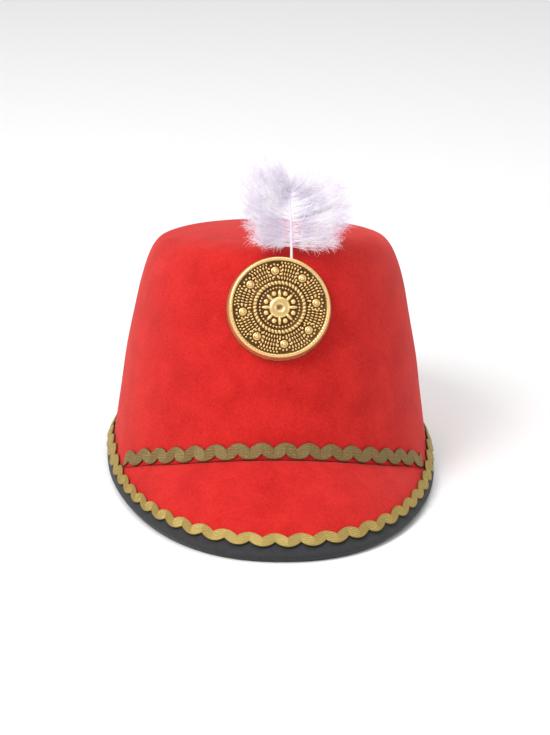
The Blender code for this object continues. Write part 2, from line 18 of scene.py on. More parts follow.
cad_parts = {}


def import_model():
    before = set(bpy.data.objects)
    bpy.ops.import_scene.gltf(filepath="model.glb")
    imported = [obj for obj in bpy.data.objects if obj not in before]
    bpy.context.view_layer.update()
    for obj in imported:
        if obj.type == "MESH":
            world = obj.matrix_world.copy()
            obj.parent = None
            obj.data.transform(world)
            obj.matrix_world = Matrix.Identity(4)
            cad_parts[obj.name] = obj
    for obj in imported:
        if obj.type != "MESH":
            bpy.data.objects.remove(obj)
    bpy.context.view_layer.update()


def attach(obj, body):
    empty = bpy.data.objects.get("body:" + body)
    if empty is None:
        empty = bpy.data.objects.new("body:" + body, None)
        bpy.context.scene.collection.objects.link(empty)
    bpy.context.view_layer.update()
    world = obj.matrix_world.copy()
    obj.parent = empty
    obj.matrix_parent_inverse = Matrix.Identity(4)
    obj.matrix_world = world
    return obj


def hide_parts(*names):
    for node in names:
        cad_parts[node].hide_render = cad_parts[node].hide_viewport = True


LOG = logging.getLogger("majorette_hat")
ROOT_BODY = "root"
IMAGE_SIZE = (550, 735)
MILLIMETRE = 0.001


class Slot(Enum):
    """Material slots."""

    FELT = "felt"
    TAPE = "tape"
    BRAID = "braid"
    GILT = "gilt"
    DOWN = "down"


def unit(vectors: np.ndarray) -> np.ndarray:
    """Vectors of length one along the last axis.

    Args:
        vectors: an array whose last axis holds x, y and z.

    Returns:
        The array divided by its lengths.
    """
    return vectors / np.linalg.norm(vectors, axis=-1, keepdims=True)


def smooth(share: np.ndarray) -> np.ndarray:
    """The S-curve 3t^2 - 2t^3 of t, held between 0 and 1.

    Args:
        share: values of t.

    Returns:
        The curve's values.
    """
    share = np.clip(share, 0, 1)
    return share * share * (3 - 2 * share)


def rounded_line(knots: np.ndarray, values: np.ndarray, at: np.ndarray) -> np.ndarray:
    """A cubic Hermite curve through knots, its slope at each one the mean of its neighbours' slopes.

    Args:
        knots: rising places of the knots.
        values: the knots' values, one row a knot.
        at: places to read.

    Returns:
        The curve's values at those places.
    """
    slopes = np.gradient(values, knots, axis=0)
    index = np.clip(np.searchsorted(knots, at, side="right") - 1, 0, len(knots) - 2)
    width = (knots[index + 1] - knots[index])[:, None]
    t = (at[:, None] - knots[index][:, None]) / width
    start, end = values[index], values[index + 1]
    rise_start, rise_end = slopes[index] * width, slopes[index + 1] * width
    return (
        (2 * t**3 - 3 * t**2 + 1) * start
        + (t**3 - 2 * t**2 + t) * rise_start
        + (3 * t**2 - 2 * t**3) * end
        + (t**3 - t**2) * rise_end
    )


@dataclass(frozen=True)
class HatForm:
    """The felt's shape, by the same sizes as the model."""

    half_width: float = 0.0885
    half_depth: float = 0.1018
    height: float = 0.111
    dome_rise: float = 0.0042
    shoulder_skew: float = 0.0011
    lean: float = radians(10.7)
    seam_height: float = 0.0354
    seam_drop: float = 0.0175
    seam_end_height: float = 0.005
    seam_end: float = 2 * pi * 14 / 64
    peak_reach: float = 0.0545
    peak_camber: float = 0.0018
    rim_half_width: float = 0.0919
    rim_back_flare: float = 0.001
    rim_fullness: float = 2.23
    flare_start: float = radians(50)
    flare_rise: float = 0.010
    flare_share: float = 0.65
    felt: float = 0.0025
    tape: float = 0.001
    clearance: float = 0.0003
    tape_rounding: float = 0.0007
    tape_flat: float = 0.0004
    middle_shift: float = 0.0255
    sections: tuple[tuple[float, float], ...] = (
        # height, girth
        (0.000, 1.0000),
        (0.400, 0.9305),
        (0.600, 0.8844),
        (0.780, 0.8342),
        (0.870, 0.8000),
        (0.930, 0.7660),
        (0.973, 0.7200),
        (0.997, 0.6500),
    )
    dome: tuple[tuple[float, float], ...] = (
        # rise, girth
        (0.50, 0.72),
        (0.88, 0.38),
        (1.00, 0.00),
    )

    @property
    def lift(self) -> float:
        """Height of the crown's own origin above the floor."""
        return self.seam_height - self.half_depth * sin(self.lean)

    @property
    def fold(self) -> float:
        """Thickness of the tape with the gap under it."""
        return self.clearance + self.tape

    def stand(self, points: np.ndarray) -> np.ndarray:
        """Turns points of the crown's frame about X so that the top goes back, and lifts them.

        Args:
            points: places in the crown's own frame.

        Returns:
            The places in the resting frame, its Y = 0 under the crown's axis.
        """
        x, y, z = np.moveaxis(np.asarray(points, float), -1, 0)
        turned_y = y * cos(self.lean) + z * sin(self.lean)
        return np.stack([x, turned_y, z * cos(self.lean) - y * sin(self.lean) + self.lift], axis=-1)

    def ring(self, girth: np.ndarray, height: np.ndarray, angle: np.ndarray) -> np.ndarray:
        """An ellipse of the crown: half width and depth times girth, its +X side a little higher.

        Args:
            girth: share of the seam's half width and depth.
            height: height on the crown's axis.
            angle: angle round the crown.

        Returns:
            Places in the crown's own frame.
        """
        skew = self.shoulder_skew * smooth(height / self.height) * np.sin(angle) * girth
        across = self.half_width * girth * np.sin(angle)
        return np.stack(
            np.broadcast_arrays(across, -self.half_depth * girth * np.cos(angle), height + skew), -1
        )

    def wall(self, angle: np.ndarray, height: np.ndarray) -> np.ndarray:
        """The crown's wall, straight between its sections and carried on straight below the seam.

        Args:
            angle: angle round the crown.
            height: height on the crown's axis.

        Returns:
            Places in the crown's own frame.
        """
        heights, girths = zip(*self.sections)
        share = height / self.height
        carried_on = 1 + share * (girths[1] - 1) / heights[1]
        return self.ring(np.where(share < 0, carried_on, np.interp(share, heights, girths)), height, angle)

    def floor_level(self, angle: np.ndarray) -> np.ndarray:
        """Height on the crown's axis at which its wall, carried down, meets the floor.

        Args:
            angle: angle round the crown.

        Returns:
            The heights.
        """
        return -(self.half_depth * np.cos(angle) * sin(self.lean) + self.lift) / cos(self.lean)

    def foot(self, angle: np.ndarray) -> np.ndarray:
        """Where the crown's wall, carried down, meets the floor.

        Args:
            angle: angle round the crown.

        Returns:
            Places in the resting frame.
        """
        return self.stand(self.wall(angle, self.floor_level(angle)))

    def rim_plan(self, angle: np.ndarray) -> np.ndarray:
        """The lower edge in plan: |x/a|^n + |y/b|^n = 1 with n over 2 round the peak, and 2 behind.

        Args:
            angle: angle round the crown.

        Returns:
            Places on the floor.
        """
        front = self.half_depth * cos(self.lean) + self.peak_reach
        last = self.foot(np.array(pi))[1]
        back = last + self.rim_back_flare
        y = self.foot(angle)[..., 1] * back / last
        seam_end_y = self.foot(np.array(self.seam_end))[1] * back / last
        end_turn = np.arccos((-seam_end_y / front) ** (self.rim_fullness / 2))
        turn = np.minimum(np.abs(angle) / self.seam_end, 1) * end_turn
        y = np.where(np.abs(angle) < self.seam_end, -front * np.cos(turn) ** (2 / self.rim_fullness), y)
        power = np.where(y < 0, self.rim_fullness, 2.0)
        share = np.minimum(np.abs(y / np.where(y < 0, front, back)), 1)
        x = self.rim_half_width * (1 - share**power) ** (1 / power)
        return np.stack([np.sign(np.sin(angle)) * x, y, 0 * x], axis=-1)

    def seam_level(self, angle: np.ndarray) -> np.ndarray:
        """Height of the seam on the crown's axis; past its ends it runs on just above the floor.

        Args:
            angle: angle round the crown.

        Returns:
            The heights.
        """
        sides = -self.seam_drop * np.sin(angle) ** 2
        return np.maximum(sides, self.floor_level(angle) + self.seam_end_height)

    def seam(self, angle: np.ndarray) -> np.ndarray:
        """The seam of crown and peak, whose ends go out with the flare of the lower edge.

        Args:
            angle: angle round the crown.

        Returns:
            Places in the resting frame.
        """
        run = (np.abs(angle) - self.flare_start) / (self.seam_end - self.flare_start)
        flare = (self.rim_plan(angle) - self.foot(angle)) * (1, 1, 0)
        on_wall = self.stand(self.wall(angle, self.seam_level(angle)))
        return on_wall + flare * (self.flare_share * smooth(run))[..., None]

    def rim(self, angle: np.ndarray) -> np.ndarray:
        """The felt's lower edge, above the floor by what the tape under it takes.

        Args:
            angle: angle round the crown.

        Returns:
            Places in the resting frame.
        """
        plan = self.rim_plan(angle)
        rise = unit(self.seam(angle) - plan)[..., 2]
        level = np.sqrt(1 - rise**2)
        side = self.fold * rise + (self.felt - self.tape_rounding) * level
        depth = np.maximum(side, (self.felt + self.fold) * level)
        return plan + (depth - self.tape_flat)[..., None] * (0, 0, 1)

    def felt_rows(self, angle: np.ndarray, peak_rows: int = 5) -> np.ndarray:
        """Rows up the felt's outer face: a bowed line from edge to seam, then two rows of the wall.

        Args:
            angle: angle round the crown.
            peak_rows: rows from the edge to the seam.

        Returns:
            Places in the resting frame, one row of them for each row of the felt.
        """
        angle = (np.asarray(angle, float) + pi) % (2 * pi) - pi
        edge, top = self.rim(angle), self.seam(angle)
        run = top - edge
        width = np.linalg.norm(run, axis=-1, keepdims=True)
        inward = run * (1, 1, 0)
        level = np.linalg.norm(inward, axis=-1, keepdims=True)
        normal = (level * (0, 0, 1) - inward / level * run[..., 2:]) / width
        full_width = np.linalg.norm(self.seam(np.array(0.0)) - self.rim(np.array(0.0)))
        camber = self.peak_camber * (width / full_width) ** 2 * normal
        rows = [edge + run * share + camber * sin(pi * share) for share in np.linspace(0, 1, peak_rows)]
        above = self.stand(self.wall(angle, self.seam_level(angle) + self.flare_rise))
        higher = self.stand(self.wall(angle, self.sections[1][0] * self.height + 0 * angle))
        return np.stack([*rows, above, higher])

    def skirt_width(self, angle: np.ndarray) -> np.ndarray:
        """The felt's width from its edge to the seam.

        Args:
            angle: angle round the crown.

        Returns:
            The widths.
        """
        return np.linalg.norm(np.diff(self.felt_rows(angle)[:5], axis=0), axis=-1).sum(axis=0)

    def up_felt(self, angle: np.ndarray, distance: np.ndarray) -> np.ndarray:
        """Walks up the rows of the felt from its edge; below the edge it runs straight on.

        Args:
            angle: angle round the crown.
            distance: distance up the felt from its edge.

        Returns:
            Places on the outer face.
        """
        rows = self.felt_rows(angle)
        steps = np.diff(rows, axis=0)
        point, left = rows[0], distance + 0 * rows[0][..., 0]
        for index, step in enumerate(steps):
            length = np.linalg.norm(step, axis=-1)
            used = np.minimum(left, length) if index == 0 else np.clip(left, 0, length)
            point = point + step * (used / length)[..., None]
            left = left - used
        return point

    def on_felt(self, angle: np.ndarray, distance: np.ndarray, height: np.ndarray) -> np.ndarray:
        """A place over the felt: the walk up it, plus height along the cross product of its two directions.

        Args:
            angle: angle round the crown.
            distance: distance up the felt from its edge.
            height: height over the outer face.

        Returns:
            Places in the resting frame.
        """
        turn, reach = radians(1), 0.0015
        sideways = self.up_felt(angle + turn, distance) - self.up_felt(angle - turn, distance)
        upwards = self.up_felt(angle, distance + reach) - self.up_felt(angle, distance - reach)
        normal = unit(np.cross(sideways, upwards))
        return self.up_felt(angle, distance) + normal * np.asarray(height)[..., None]

    def place(self, points: np.ndarray) -> np.ndarray:
        """Moves the resting frame so that the origin is under the middle of the hat.

        Args:
            points: places with Y = 0 under the crown's axis.

        Returns:
            Places in the row's frame.
        """
        return points + (0, self.middle_shift, 0)

    def front_frame(self, height: float) -> np.ndarray:
        """The place on the front of the wall: X across, Y up the wall and Z out of it.

        Args:
            height: height on the crown's axis.

        Returns:
            A 4 by 4 matrix in the row's frame.
        """
        step = 0.0034
        at = np.array([height, height + step, height - step])
        centre, above, below = self.stand(self.wall(0 * at, at))
        up = unit(above - below)
        across = np.array([1.0, 0, 0])
        matrix = np.eye(4)
        matrix[:3, 0], matrix[:3, 1], matrix[:3, 2] = across, up, np.cross(across, up)
        matrix[:3, 3] = self.place(centre)
        return matrix


FORM = HatForm()


def grid_faces(rows: int, columns: int, closed: bool) -> np.ndarray:
    """Quads between neighbouring rows of points, facing out where columns run right and rows run up.

    Args:
        rows: rows of points.
        columns: points in a row.
        closed: whether each row is a ring.

    Returns:
        Indices, four a face.
    """
    last = columns if closed else columns - 1
    row, column = np.meshgrid(np.arange(rows - 1), np.arange(last), indexing="ij")
    after = (column + 1) % columns
    lower, upper = row * columns, (row + 1) * columns
    return np.stack([lower + column, lower + after, upper + after, upper + column], -1).reshape(-1, 4)


def mesh_object(
    name: str, points: np.ndarray, faces: np.ndarray, levels: dict | None = None
) -> bpy.types.Object:
    """A mesh object from whole arrays.

    Args:
        name: the piece's name.
        points: its points, one a row.
        faces: indices of its faces, one a row.
        levels: values to keep on the points, by attribute name.

    Returns:
        The new object, linked to the scene and shaded smooth.
    """
    mesh = bpy.data.meshes.new(name)
    mesh.from_pydata(points.reshape(-1, 3).tolist(), [], faces.tolist())
    for key, values in (levels or {}).items():
        layer = mesh.attributes.new(key, "FLOAT", "POINT")
        layer.data.foreach_set("value", np.ascontiguousarray(values, np.float32).ravel())
    mesh.shade_smooth()
    piece = bpy.data.objects.new(name, mesh)
    bpy.context.scene.collection.objects.link(piece)
    return piece


def tidy_mesh(piece: bpy.types.Object, recalculate: bool) -> None:
    """Drops points that no face uses, merges doubles and, if asked, turns the faces outwards.

    Args:
        piece: a mesh object.
        recalculate: whether to work out the normals again.
    """
    build = bmesh.new()
    build.from_mesh(piece.data)
    bmesh.ops.delete(build, geom=[vert for vert in build.verts if not vert.link_faces], context="VERTS")
    bmesh.ops.remove_doubles(build, verts=build.verts, dist=0.001 * MILLIMETRE)
    if recalculate:
        bmesh.ops.recalc_face_normals(build, faces=build.faces)
    build.to_mesh(piece.data)
    build.free()


def write_uv(piece: bpy.types.Object, along: np.ndarray, across: np.ndarray) -> None:
    """Gives each point its distances along and across, in millimetres, as a UV map.

    Args:
        piece: a mesh object.
        along: distance along, one a point.
        across: distance across, one a point.
    """
    mesh = piece.data
    index = np.empty(len(mesh.loops), np.int32)
    mesh.loops.foreach_get("vertex_index", index)
    layer = mesh.uv_layers.new(name="cloth_mm")
    pairs = np.stack([along.ravel()[index], across.ravel()[index]], axis=-1) / MILLIMETRE
    layer.data.foreach_set("uv", pairs.astype(np.float32).ravel())


def dress(piece: bpy.types.Object, node: str, material: bpy.types.Material) -> None:
    """Gives a piece its material, hides the node it replaces and hangs it on the root.

    Args:
        piece: the new piece.
        node: the node it replaces.
        material: its finish.
    """
    piece.data.materials.append(material)
    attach(piece, ROOT_BODY)
    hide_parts(node)
    piece.data.calc_loop_triangles()
    LOG.info("%s: %d triangles before modifiers", piece.name, len(piece.data.loop_triangles))


class Nodes:
    """A node tree being written: adds nodes and joins their sockets."""

    def __init__(self, tree: bpy.types.NodeTree) -> None:
        """Keeps the tree and empties it.

        Args:
            tree: a shader node tree.
        """
        self.tree = tree
        tree.nodes.clear()

    def add(self, kind: str, inputs: dict | None = None, **settings: object) -> bpy.types.Node:
        """Adds a node.

        Args:
            kind: the node's type.
            inputs: socket names or numbers with a value, or an output to join.
            settings: the node's own properties.

        Returns:
            The node.
        """
        node = self.tree.nodes.new(kind)
        for key, value in settings.items():
            setattr(node, key, value)
        for key, value in (inputs or {}).items():
            if isinstance(value, bpy.types.NodeSocket):
                self.tree.links.new(value, node.inputs[key])
            else:
                node.inputs[key].default_value = value
        return node

    def math(
        self, operation: str, first: object, second: object = 0.0, third: object = 0.0
    ) -> bpy.types.NodeSocket:
        """One sum on numbers or outputs.

        Args:
            operation: the Math node's operation.
            first: a number or an output.
            second: a number or an output.
            third: a number or an output.

        Returns:
            The result's output.
        """
        node = self.add("ShaderNodeMath", {0: first, 1: second, 2: third}, operation=operation)
        return node.outputs[0]

    def blend(self, share: object, first: object, second: object) -> bpy.types.NodeSocket:
        """Mixes two colours.

        Args:
            share: how much of the second colour.
            first: a colour or an output.
            second: a colour or an output.

        Returns:
            The mixed colour's output.
        """
        node = self.add("ShaderNodeMix", {0: share, 6: first, 7: second}, data_type="RGBA")
        return node.outputs[2]

    def noise(
        self, vector: object, scale: float, detail: float = 3.0, distortion: float = 0.0
    ) -> bpy.types.NodeSocket:
        """Soft noise from 0 to 1.

        Args:
            vector: the output that gives the place.
            scale: features for each unit of the place.
            detail: finer layers added to it.
            distortion: how far it is warped.

        Returns:
            The noise's output.
        """
        values = {"Vector": vector, "Scale": scale, "Detail": detail, "Distortion": distortion}
        return self.add("ShaderNodeTexNoise", values).outputs["Fac"]

    def ramp(self, share: bpy.types.NodeSocket, low: float, high: float) -> bpy.types.NodeSocket:
        """Stretches values so that low becomes 0 and high becomes 1, and holds the rest there.

        Args:
            share: the output to stretch.
            low: the value that becomes 0.
            high: the value that becomes 1.

        Returns:
            The stretched output.
        """
        return self.add(
            "ShaderNodeMapRange", {"Value": share, "From Min": low, "From Max": high}
        ).outputs["Result"]


def new_group(name: str, inputs: dict[str, tuple[str, object]], outputs: dict[str, str]) -> tuple:
    """An empty shader node group with named sockets.

    Args:
        name: the group's name.
        inputs: socket names with their type and default.
        outputs: socket names with their type.

    Returns:
        The group, its node writer, and its input and output nodes.
    """
    group = bpy.data.node_groups.new(name, "ShaderNodeTree")
    writer = Nodes(group)
    for key, (kind, value) in inputs.items():
        socket = group.interface.new_socket(name=key, in_out="INPUT", socket_type=kind)
        if value is not None:
            socket.default_value = value
    for key, kind in outputs.items():
        group.interface.new_socket(name=key, in_out="OUTPUT", socket_type=kind)
    return group, writer, writer.add("NodeGroupInput"), writer.add("NodeGroupOutput")


def fibre_group() -> bpy.types.NodeTree:
    """Matted fibres: fine warped noise for the fibres and broad soft noise for the mottling.

    Returns:
        The group, with outputs Mottle from 0 to 1 and Height in metres.
    """
    group, nodes, entry, end = new_group(
        "matted_fibres",
        {
            "Place": ("NodeSocketVector", None),
            "Fibre Scale": ("NodeSocketFloat", 900.0),
            "Patch Scale": ("NodeSocketFloat", 60.0),
            "Depth": ("NodeSocketFloat", 0.0002),
        },
        {"Mottle": "NodeSocketFloat", "Height": "NodeSocketFloat"},
    )
    fine = nodes.add(
        "ShaderNodeTexNoise",
        {
            "Vector": entry.outputs["Place"],
            "Scale": entry.outputs["Fibre Scale"],
            "Detail": 4.0,
            "Distortion": 1.5,
        },
    ).outputs["Fac"]
    broad = nodes.add(
        "ShaderNodeTexNoise",
        {
            "Vector": entry.outputs["Place"],
            "Scale": entry.outputs["Patch Scale"],
            "Detail": 3.0,
            "Distortion": 0.4,
        },
    ).outputs["Fac"]
    both = nodes.math("MULTIPLY_ADD", fine, 0.6, nodes.math("MULTIPLY", broad, 0.4))
    nodes.tree.links.new(nodes.ramp(both, 0.32, 0.68), end.inputs["Mottle"])
    nodes.tree.links.new(nodes.math("MULTIPLY", fine, entry.outputs["Depth"]), end.inputs["Height"])
    return group


def weave_group() -> bpy.types.NodeTree:
    """Plain weave: the product of a sine along and a sine across, on distances in millimetres.

    Returns:
        The group, with outputs Crossing from 0 to 1 and Height in metres.
    """
    group, nodes, entry, end = new_group(
        "plain_weave",
        {
            "Place": ("NodeSocketVector", None),
            "Along Pitch": ("NodeSocketFloat", 0.9),
            "Across Pitch": ("NodeSocketFloat", 0.9),
            "Slant": ("NodeSocketFloat", 0.0),
            "Depth": ("NodeSocketFloat", 0.0001),
        },
        {"Crossing": "NodeSocketFloat", "Height": "NodeSocketFloat"},
    )
    split = nodes.add("ShaderNodeSeparateXYZ", {0: entry.outputs["Place"]})
    slanted = nodes.math("MULTIPLY_ADD", split.outputs[1], entry.outputs["Slant"], split.outputs[0])
    along = nodes.math("DIVIDE", slanted, entry.outputs["Along Pitch"])
    across = nodes.math("DIVIDE", split.outputs[1], entry.outputs["Across Pitch"])
    waves = [nodes.math("SINE", nodes.math("MULTIPLY", way, 2 * pi)) for way in (along, across)]
    crossing = nodes.math("MULTIPLY_ADD", nodes.math("MULTIPLY", *waves), 0.5, 0.5)
    nodes.tree.links.new(crossing, end.inputs["Crossing"])
    nodes.tree.links.new(nodes.math("MULTIPLY", crossing, entry.outputs["Depth"]), end.inputs["Height"])
    return group


def new_material(name: str) -> tuple[bpy.types.Material, Nodes, bpy.types.Node]:
    """A material with an empty Principled shader joined to its output.

    Args:
        name: the material's name.

    Returns:
        The material, its node writer and the shader.
    """
    material = bpy.data.materials.new(name)
    material.use_nodes = True
    nodes = Nodes(material.node_tree)
    shader = nodes.add("ShaderNodeBsdfPrincipled")
    nodes.add("ShaderNodeOutputMaterial", {"Surface": shader.outputs[0]})
    return material, nodes, shader


@dataclass(frozen=True)
class FeltFinish:
    """Matt wool felt: mottled red with fine fibres and a soft sheen where it turns away."""

    light: tuple = (0.64, 0.022, 0.018, 1)
    dark: tuple = (0.40, 0.006, 0.006, 1)
    sheen: float = 0.28
    sheen_tint: tuple = (1.0, 0.35, 0.32, 1)
    fibre_depth: float = 0.00035

    def build(self, group: bpy.types.NodeTree) -> bpy.types.Material:
        """Makes the material.

        Args:
            group: the matted fibres group.

        Returns:
            The material.
        """
        material, nodes, shader = new_material("red_felt")
        place = nodes.add("ShaderNodeTexCoord").outputs["Object"]
        fibres = nodes.add("ShaderNodeGroup", node_tree=group)
        nodes.tree.links.new(place, fibres.inputs["Place"])
        fibres.inputs["Depth"].default_value = self.fibre_depth
        colour = nodes.blend(fibres.outputs["Mottle"], self.dark, self.light)
        nodes.tree.links.new(colour, shader.inputs["Base Color"])
        bump = nodes.add(
            "ShaderNodeBump", {"Height": fibres.outputs["Height"], "Distance": 1.0, "Strength": 0.7}
        )
        nodes.tree.links.new(bump.outputs[0], shader.inputs["Normal"])
        shader.inputs["Roughness"].default_value = 0.96
        shader.inputs["Specular IOR Level"].default_value = 0.15
        shader.inputs["Sheen Weight"].default_value = self.sheen
        shader.inputs["Sheen Roughness"].default_value = 0.5
        shader.inputs["Sheen Tint"].default_value = self.sheen_tint
        return material


@dataclass(frozen=True)
class TapeFinish:
    """Black woven tape with a fine weave and faint bluish lint."""

    light: tuple = (0.040, 0.041, 0.047, 1)
    dark: tuple = (0.008, 0.008, 0.009, 1)
    pitch: float = 0.95

    def build(self, group: bpy.types.NodeTree) -> bpy.types.Material:
        """Makes the material.

        Args:
            group: the plain weave group.

        Returns:
            The material.
        """
        material, nodes, shader = new_material("black_tape")
        place = nodes.add("ShaderNodeUVMap", uv_map="cloth_mm").outputs["UV"]
        weave = nodes.add("ShaderNodeGroup", node_tree=group)
        nodes.tree.links.new(place, weave.inputs["Place"])
        weave.inputs["Along Pitch"].default_value = self.pitch
        weave.inputs["Across Pitch"].default_value = self.pitch
        weave.inputs["Depth"].default_value = 0.0002
        lint = nodes.ramp(nodes.noise(place, 0.35, 6.0, 1.0), 0.35, 0.75)
        share = nodes.math("MULTIPLY", weave.outputs["Crossing"], nodes.math("MULTIPLY_ADD", lint, 0.7, 0.3))
        nodes.tree.links.new(nodes.blend(share, self.dark, self.light), shader.inputs["Base Color"])
        bump = nodes.add(
            "ShaderNodeBump", {"Height": weave.outputs["Height"], "Distance": 1.0, "Strength": 0.8}
        )
        nodes.tree.links.new(bump.outputs[0], shader.inputs["Normal"])
        shader.inputs["Roughness"].default_value = 0.8
        shader.inputs["Sheen Weight"].default_value = 0.12
        return material


@dataclass(frozen=True)
class BraidFinish:
    """Lurex braid: twisted metallic threads, with painted shade between them and along their twist, and painted
    glints.
    """

    name: str
    bright: tuple
    # painted shade: the colour between the threads
    groove_shade: tuple
    # painted highlight: the colour of the glints
    painted_glint: tuple

    def build(self, group: bpy.types.NodeTree) -> bpy.types.Material:
        """Makes the material.

        Args:
            group: the plain weave group.

        Returns:
            The material.
        """
        material, nodes, shader = new_material(self.name)
        place = nodes.add("ShaderNodeUVMap", uv_map="cloth_mm").outputs["UV"]
        twist = nodes.add("ShaderNodeGroup", node_tree=group)
        nodes.tree.links.new(place, twist.inputs["Place"])
        twist.inputs["Along Pitch"].default_value = 0.8
        twist.inputs["Across Pitch"].default_value = 1.2
        twist.inputs["Slant"].default_value = 0.7
        twist.inputs["Depth"].default_value = 0.00012
        # painted shade: a point attribute, 1 on the threads' crests and 0 between them, together with the twist
        # pattern darkens the colour between the threads
        lit_crest = nodes.add("ShaderNodeAttribute", attribute_name="lit_crest").outputs["Fac"]
        shade = nodes.math("MULTIPLY", lit_crest, nodes.math("MULTIPLY_ADD", twist.outputs["Crossing"], 0.5, 0.5))
        body = nodes.blend(shade, self.groove_shade, self.bright)
        # painted highlight: random spots on the crests take the bright glint colour
        painted_glint_spots = nodes.ramp(nodes.noise(place, 1.7, 2.0), 0.60, 0.72)
        painted_glint_share = nodes.math("MULTIPLY", painted_glint_spots, lit_crest)
        nodes.tree.links.new(nodes.blend(painted_glint_share, body, self.painted_glint), shader.inputs["Base Color"])
        bump = nodes.add(
            "ShaderNodeBump", {"Height": twist.outputs["Height"], "Distance": 1.0, "Strength": 0.7}
        )
        nodes.tree.links.new(bump.outputs[0], shader.inputs["Normal"])
        shader.inputs["Metallic"].default_value = 0.45
        shader.inputs["Roughness"].default_value = 0.42
        return material


@dataclass(frozen=True)
class GiltFinish:
    """Gilt moulded plastic: polished on what stands high, with painted shade, dark brown, in the crevices."""

    gold: tuple = (0.86, 0.60, 0.26, 1)
    # painted shade: the dark brown that stands for the shade in the crevices
    crevice_shade: tuple = (0.10, 0.042, 0.010, 1)

    def build(self) -> bpy.types.Material:
        """Makes the material, which reads how high each point stands from a point attribute and paints shade on
        the low points.

        Returns:
            The material.
        """
        material, nodes, shader = new_material("gilt_plastic")
        place = nodes.add("ShaderNodeTexCoord").outputs["Object"]
        polish_and_shade = nodes.add("ShaderNodeAttribute", attribute_name="polish_and_shade").outputs["Fac"]
        stain = nodes.math("MULTIPLY_ADD", nodes.noise(place, 700.0, 3.0), 0.5, -0.25)
        share = nodes.ramp(nodes.math("ADD", polish_and_shade, stain), 0.05, 0.75)
        # painted shade: low points blend towards the dark brown crevice colour
        nodes.tree.links.new(nodes.blend(share, self.crevice_shade, self.gold), shader.inputs["Base Color"])
        rough = nodes.math("MULTIPLY_ADD", share, -0.25, 0.55)
        nodes.tree.links.new(rough, shader.inputs["Roughness"])
        height = nodes.math("MULTIPLY", nodes.noise(place, 1500.0, 2.0), 0.00006)
        bump = nodes.add("ShaderNodeBump", {"Height": height, "Distance": 1.0, "Strength": 0.5})
        nodes.tree.links.new(bump.outputs[0], shader.inputs["Normal"])
        shader.inputs["Metallic"].default_value = 0.75
        return material


@dataclass(frozen=True)
class DownFinish:
    """White down, faintly lavender, that lets some light through."""

    white: tuple = (0.90, 0.87, 0.92, 1)
    lavender: tuple = (0.74, 0.68, 0.80, 1)

    def build(self) -> bpy.types.Material:
        """Makes the material.

        Returns:
            The material.
        """
        material, nodes, shader = new_material("white_down")
        place = nodes.add("ShaderNodeTexCoord").outputs["Object"]
        share = nodes.ramp(nodes.noise(place, 90.0, 3.0), 0.35, 0.65)
        nodes.tree.links.new(nodes.blend(share, self.lavender, self.white), shader.inputs["Base Color"])
        shader.inputs["Roughness"].default_value = 0.9
        shader.inputs["Alpha"].default_value = 0.8
        shader.inputs["Subsurface Weight"].default_value = 0.0
        shader.inputs["Sheen Weight"].default_value = 0.3
        return material


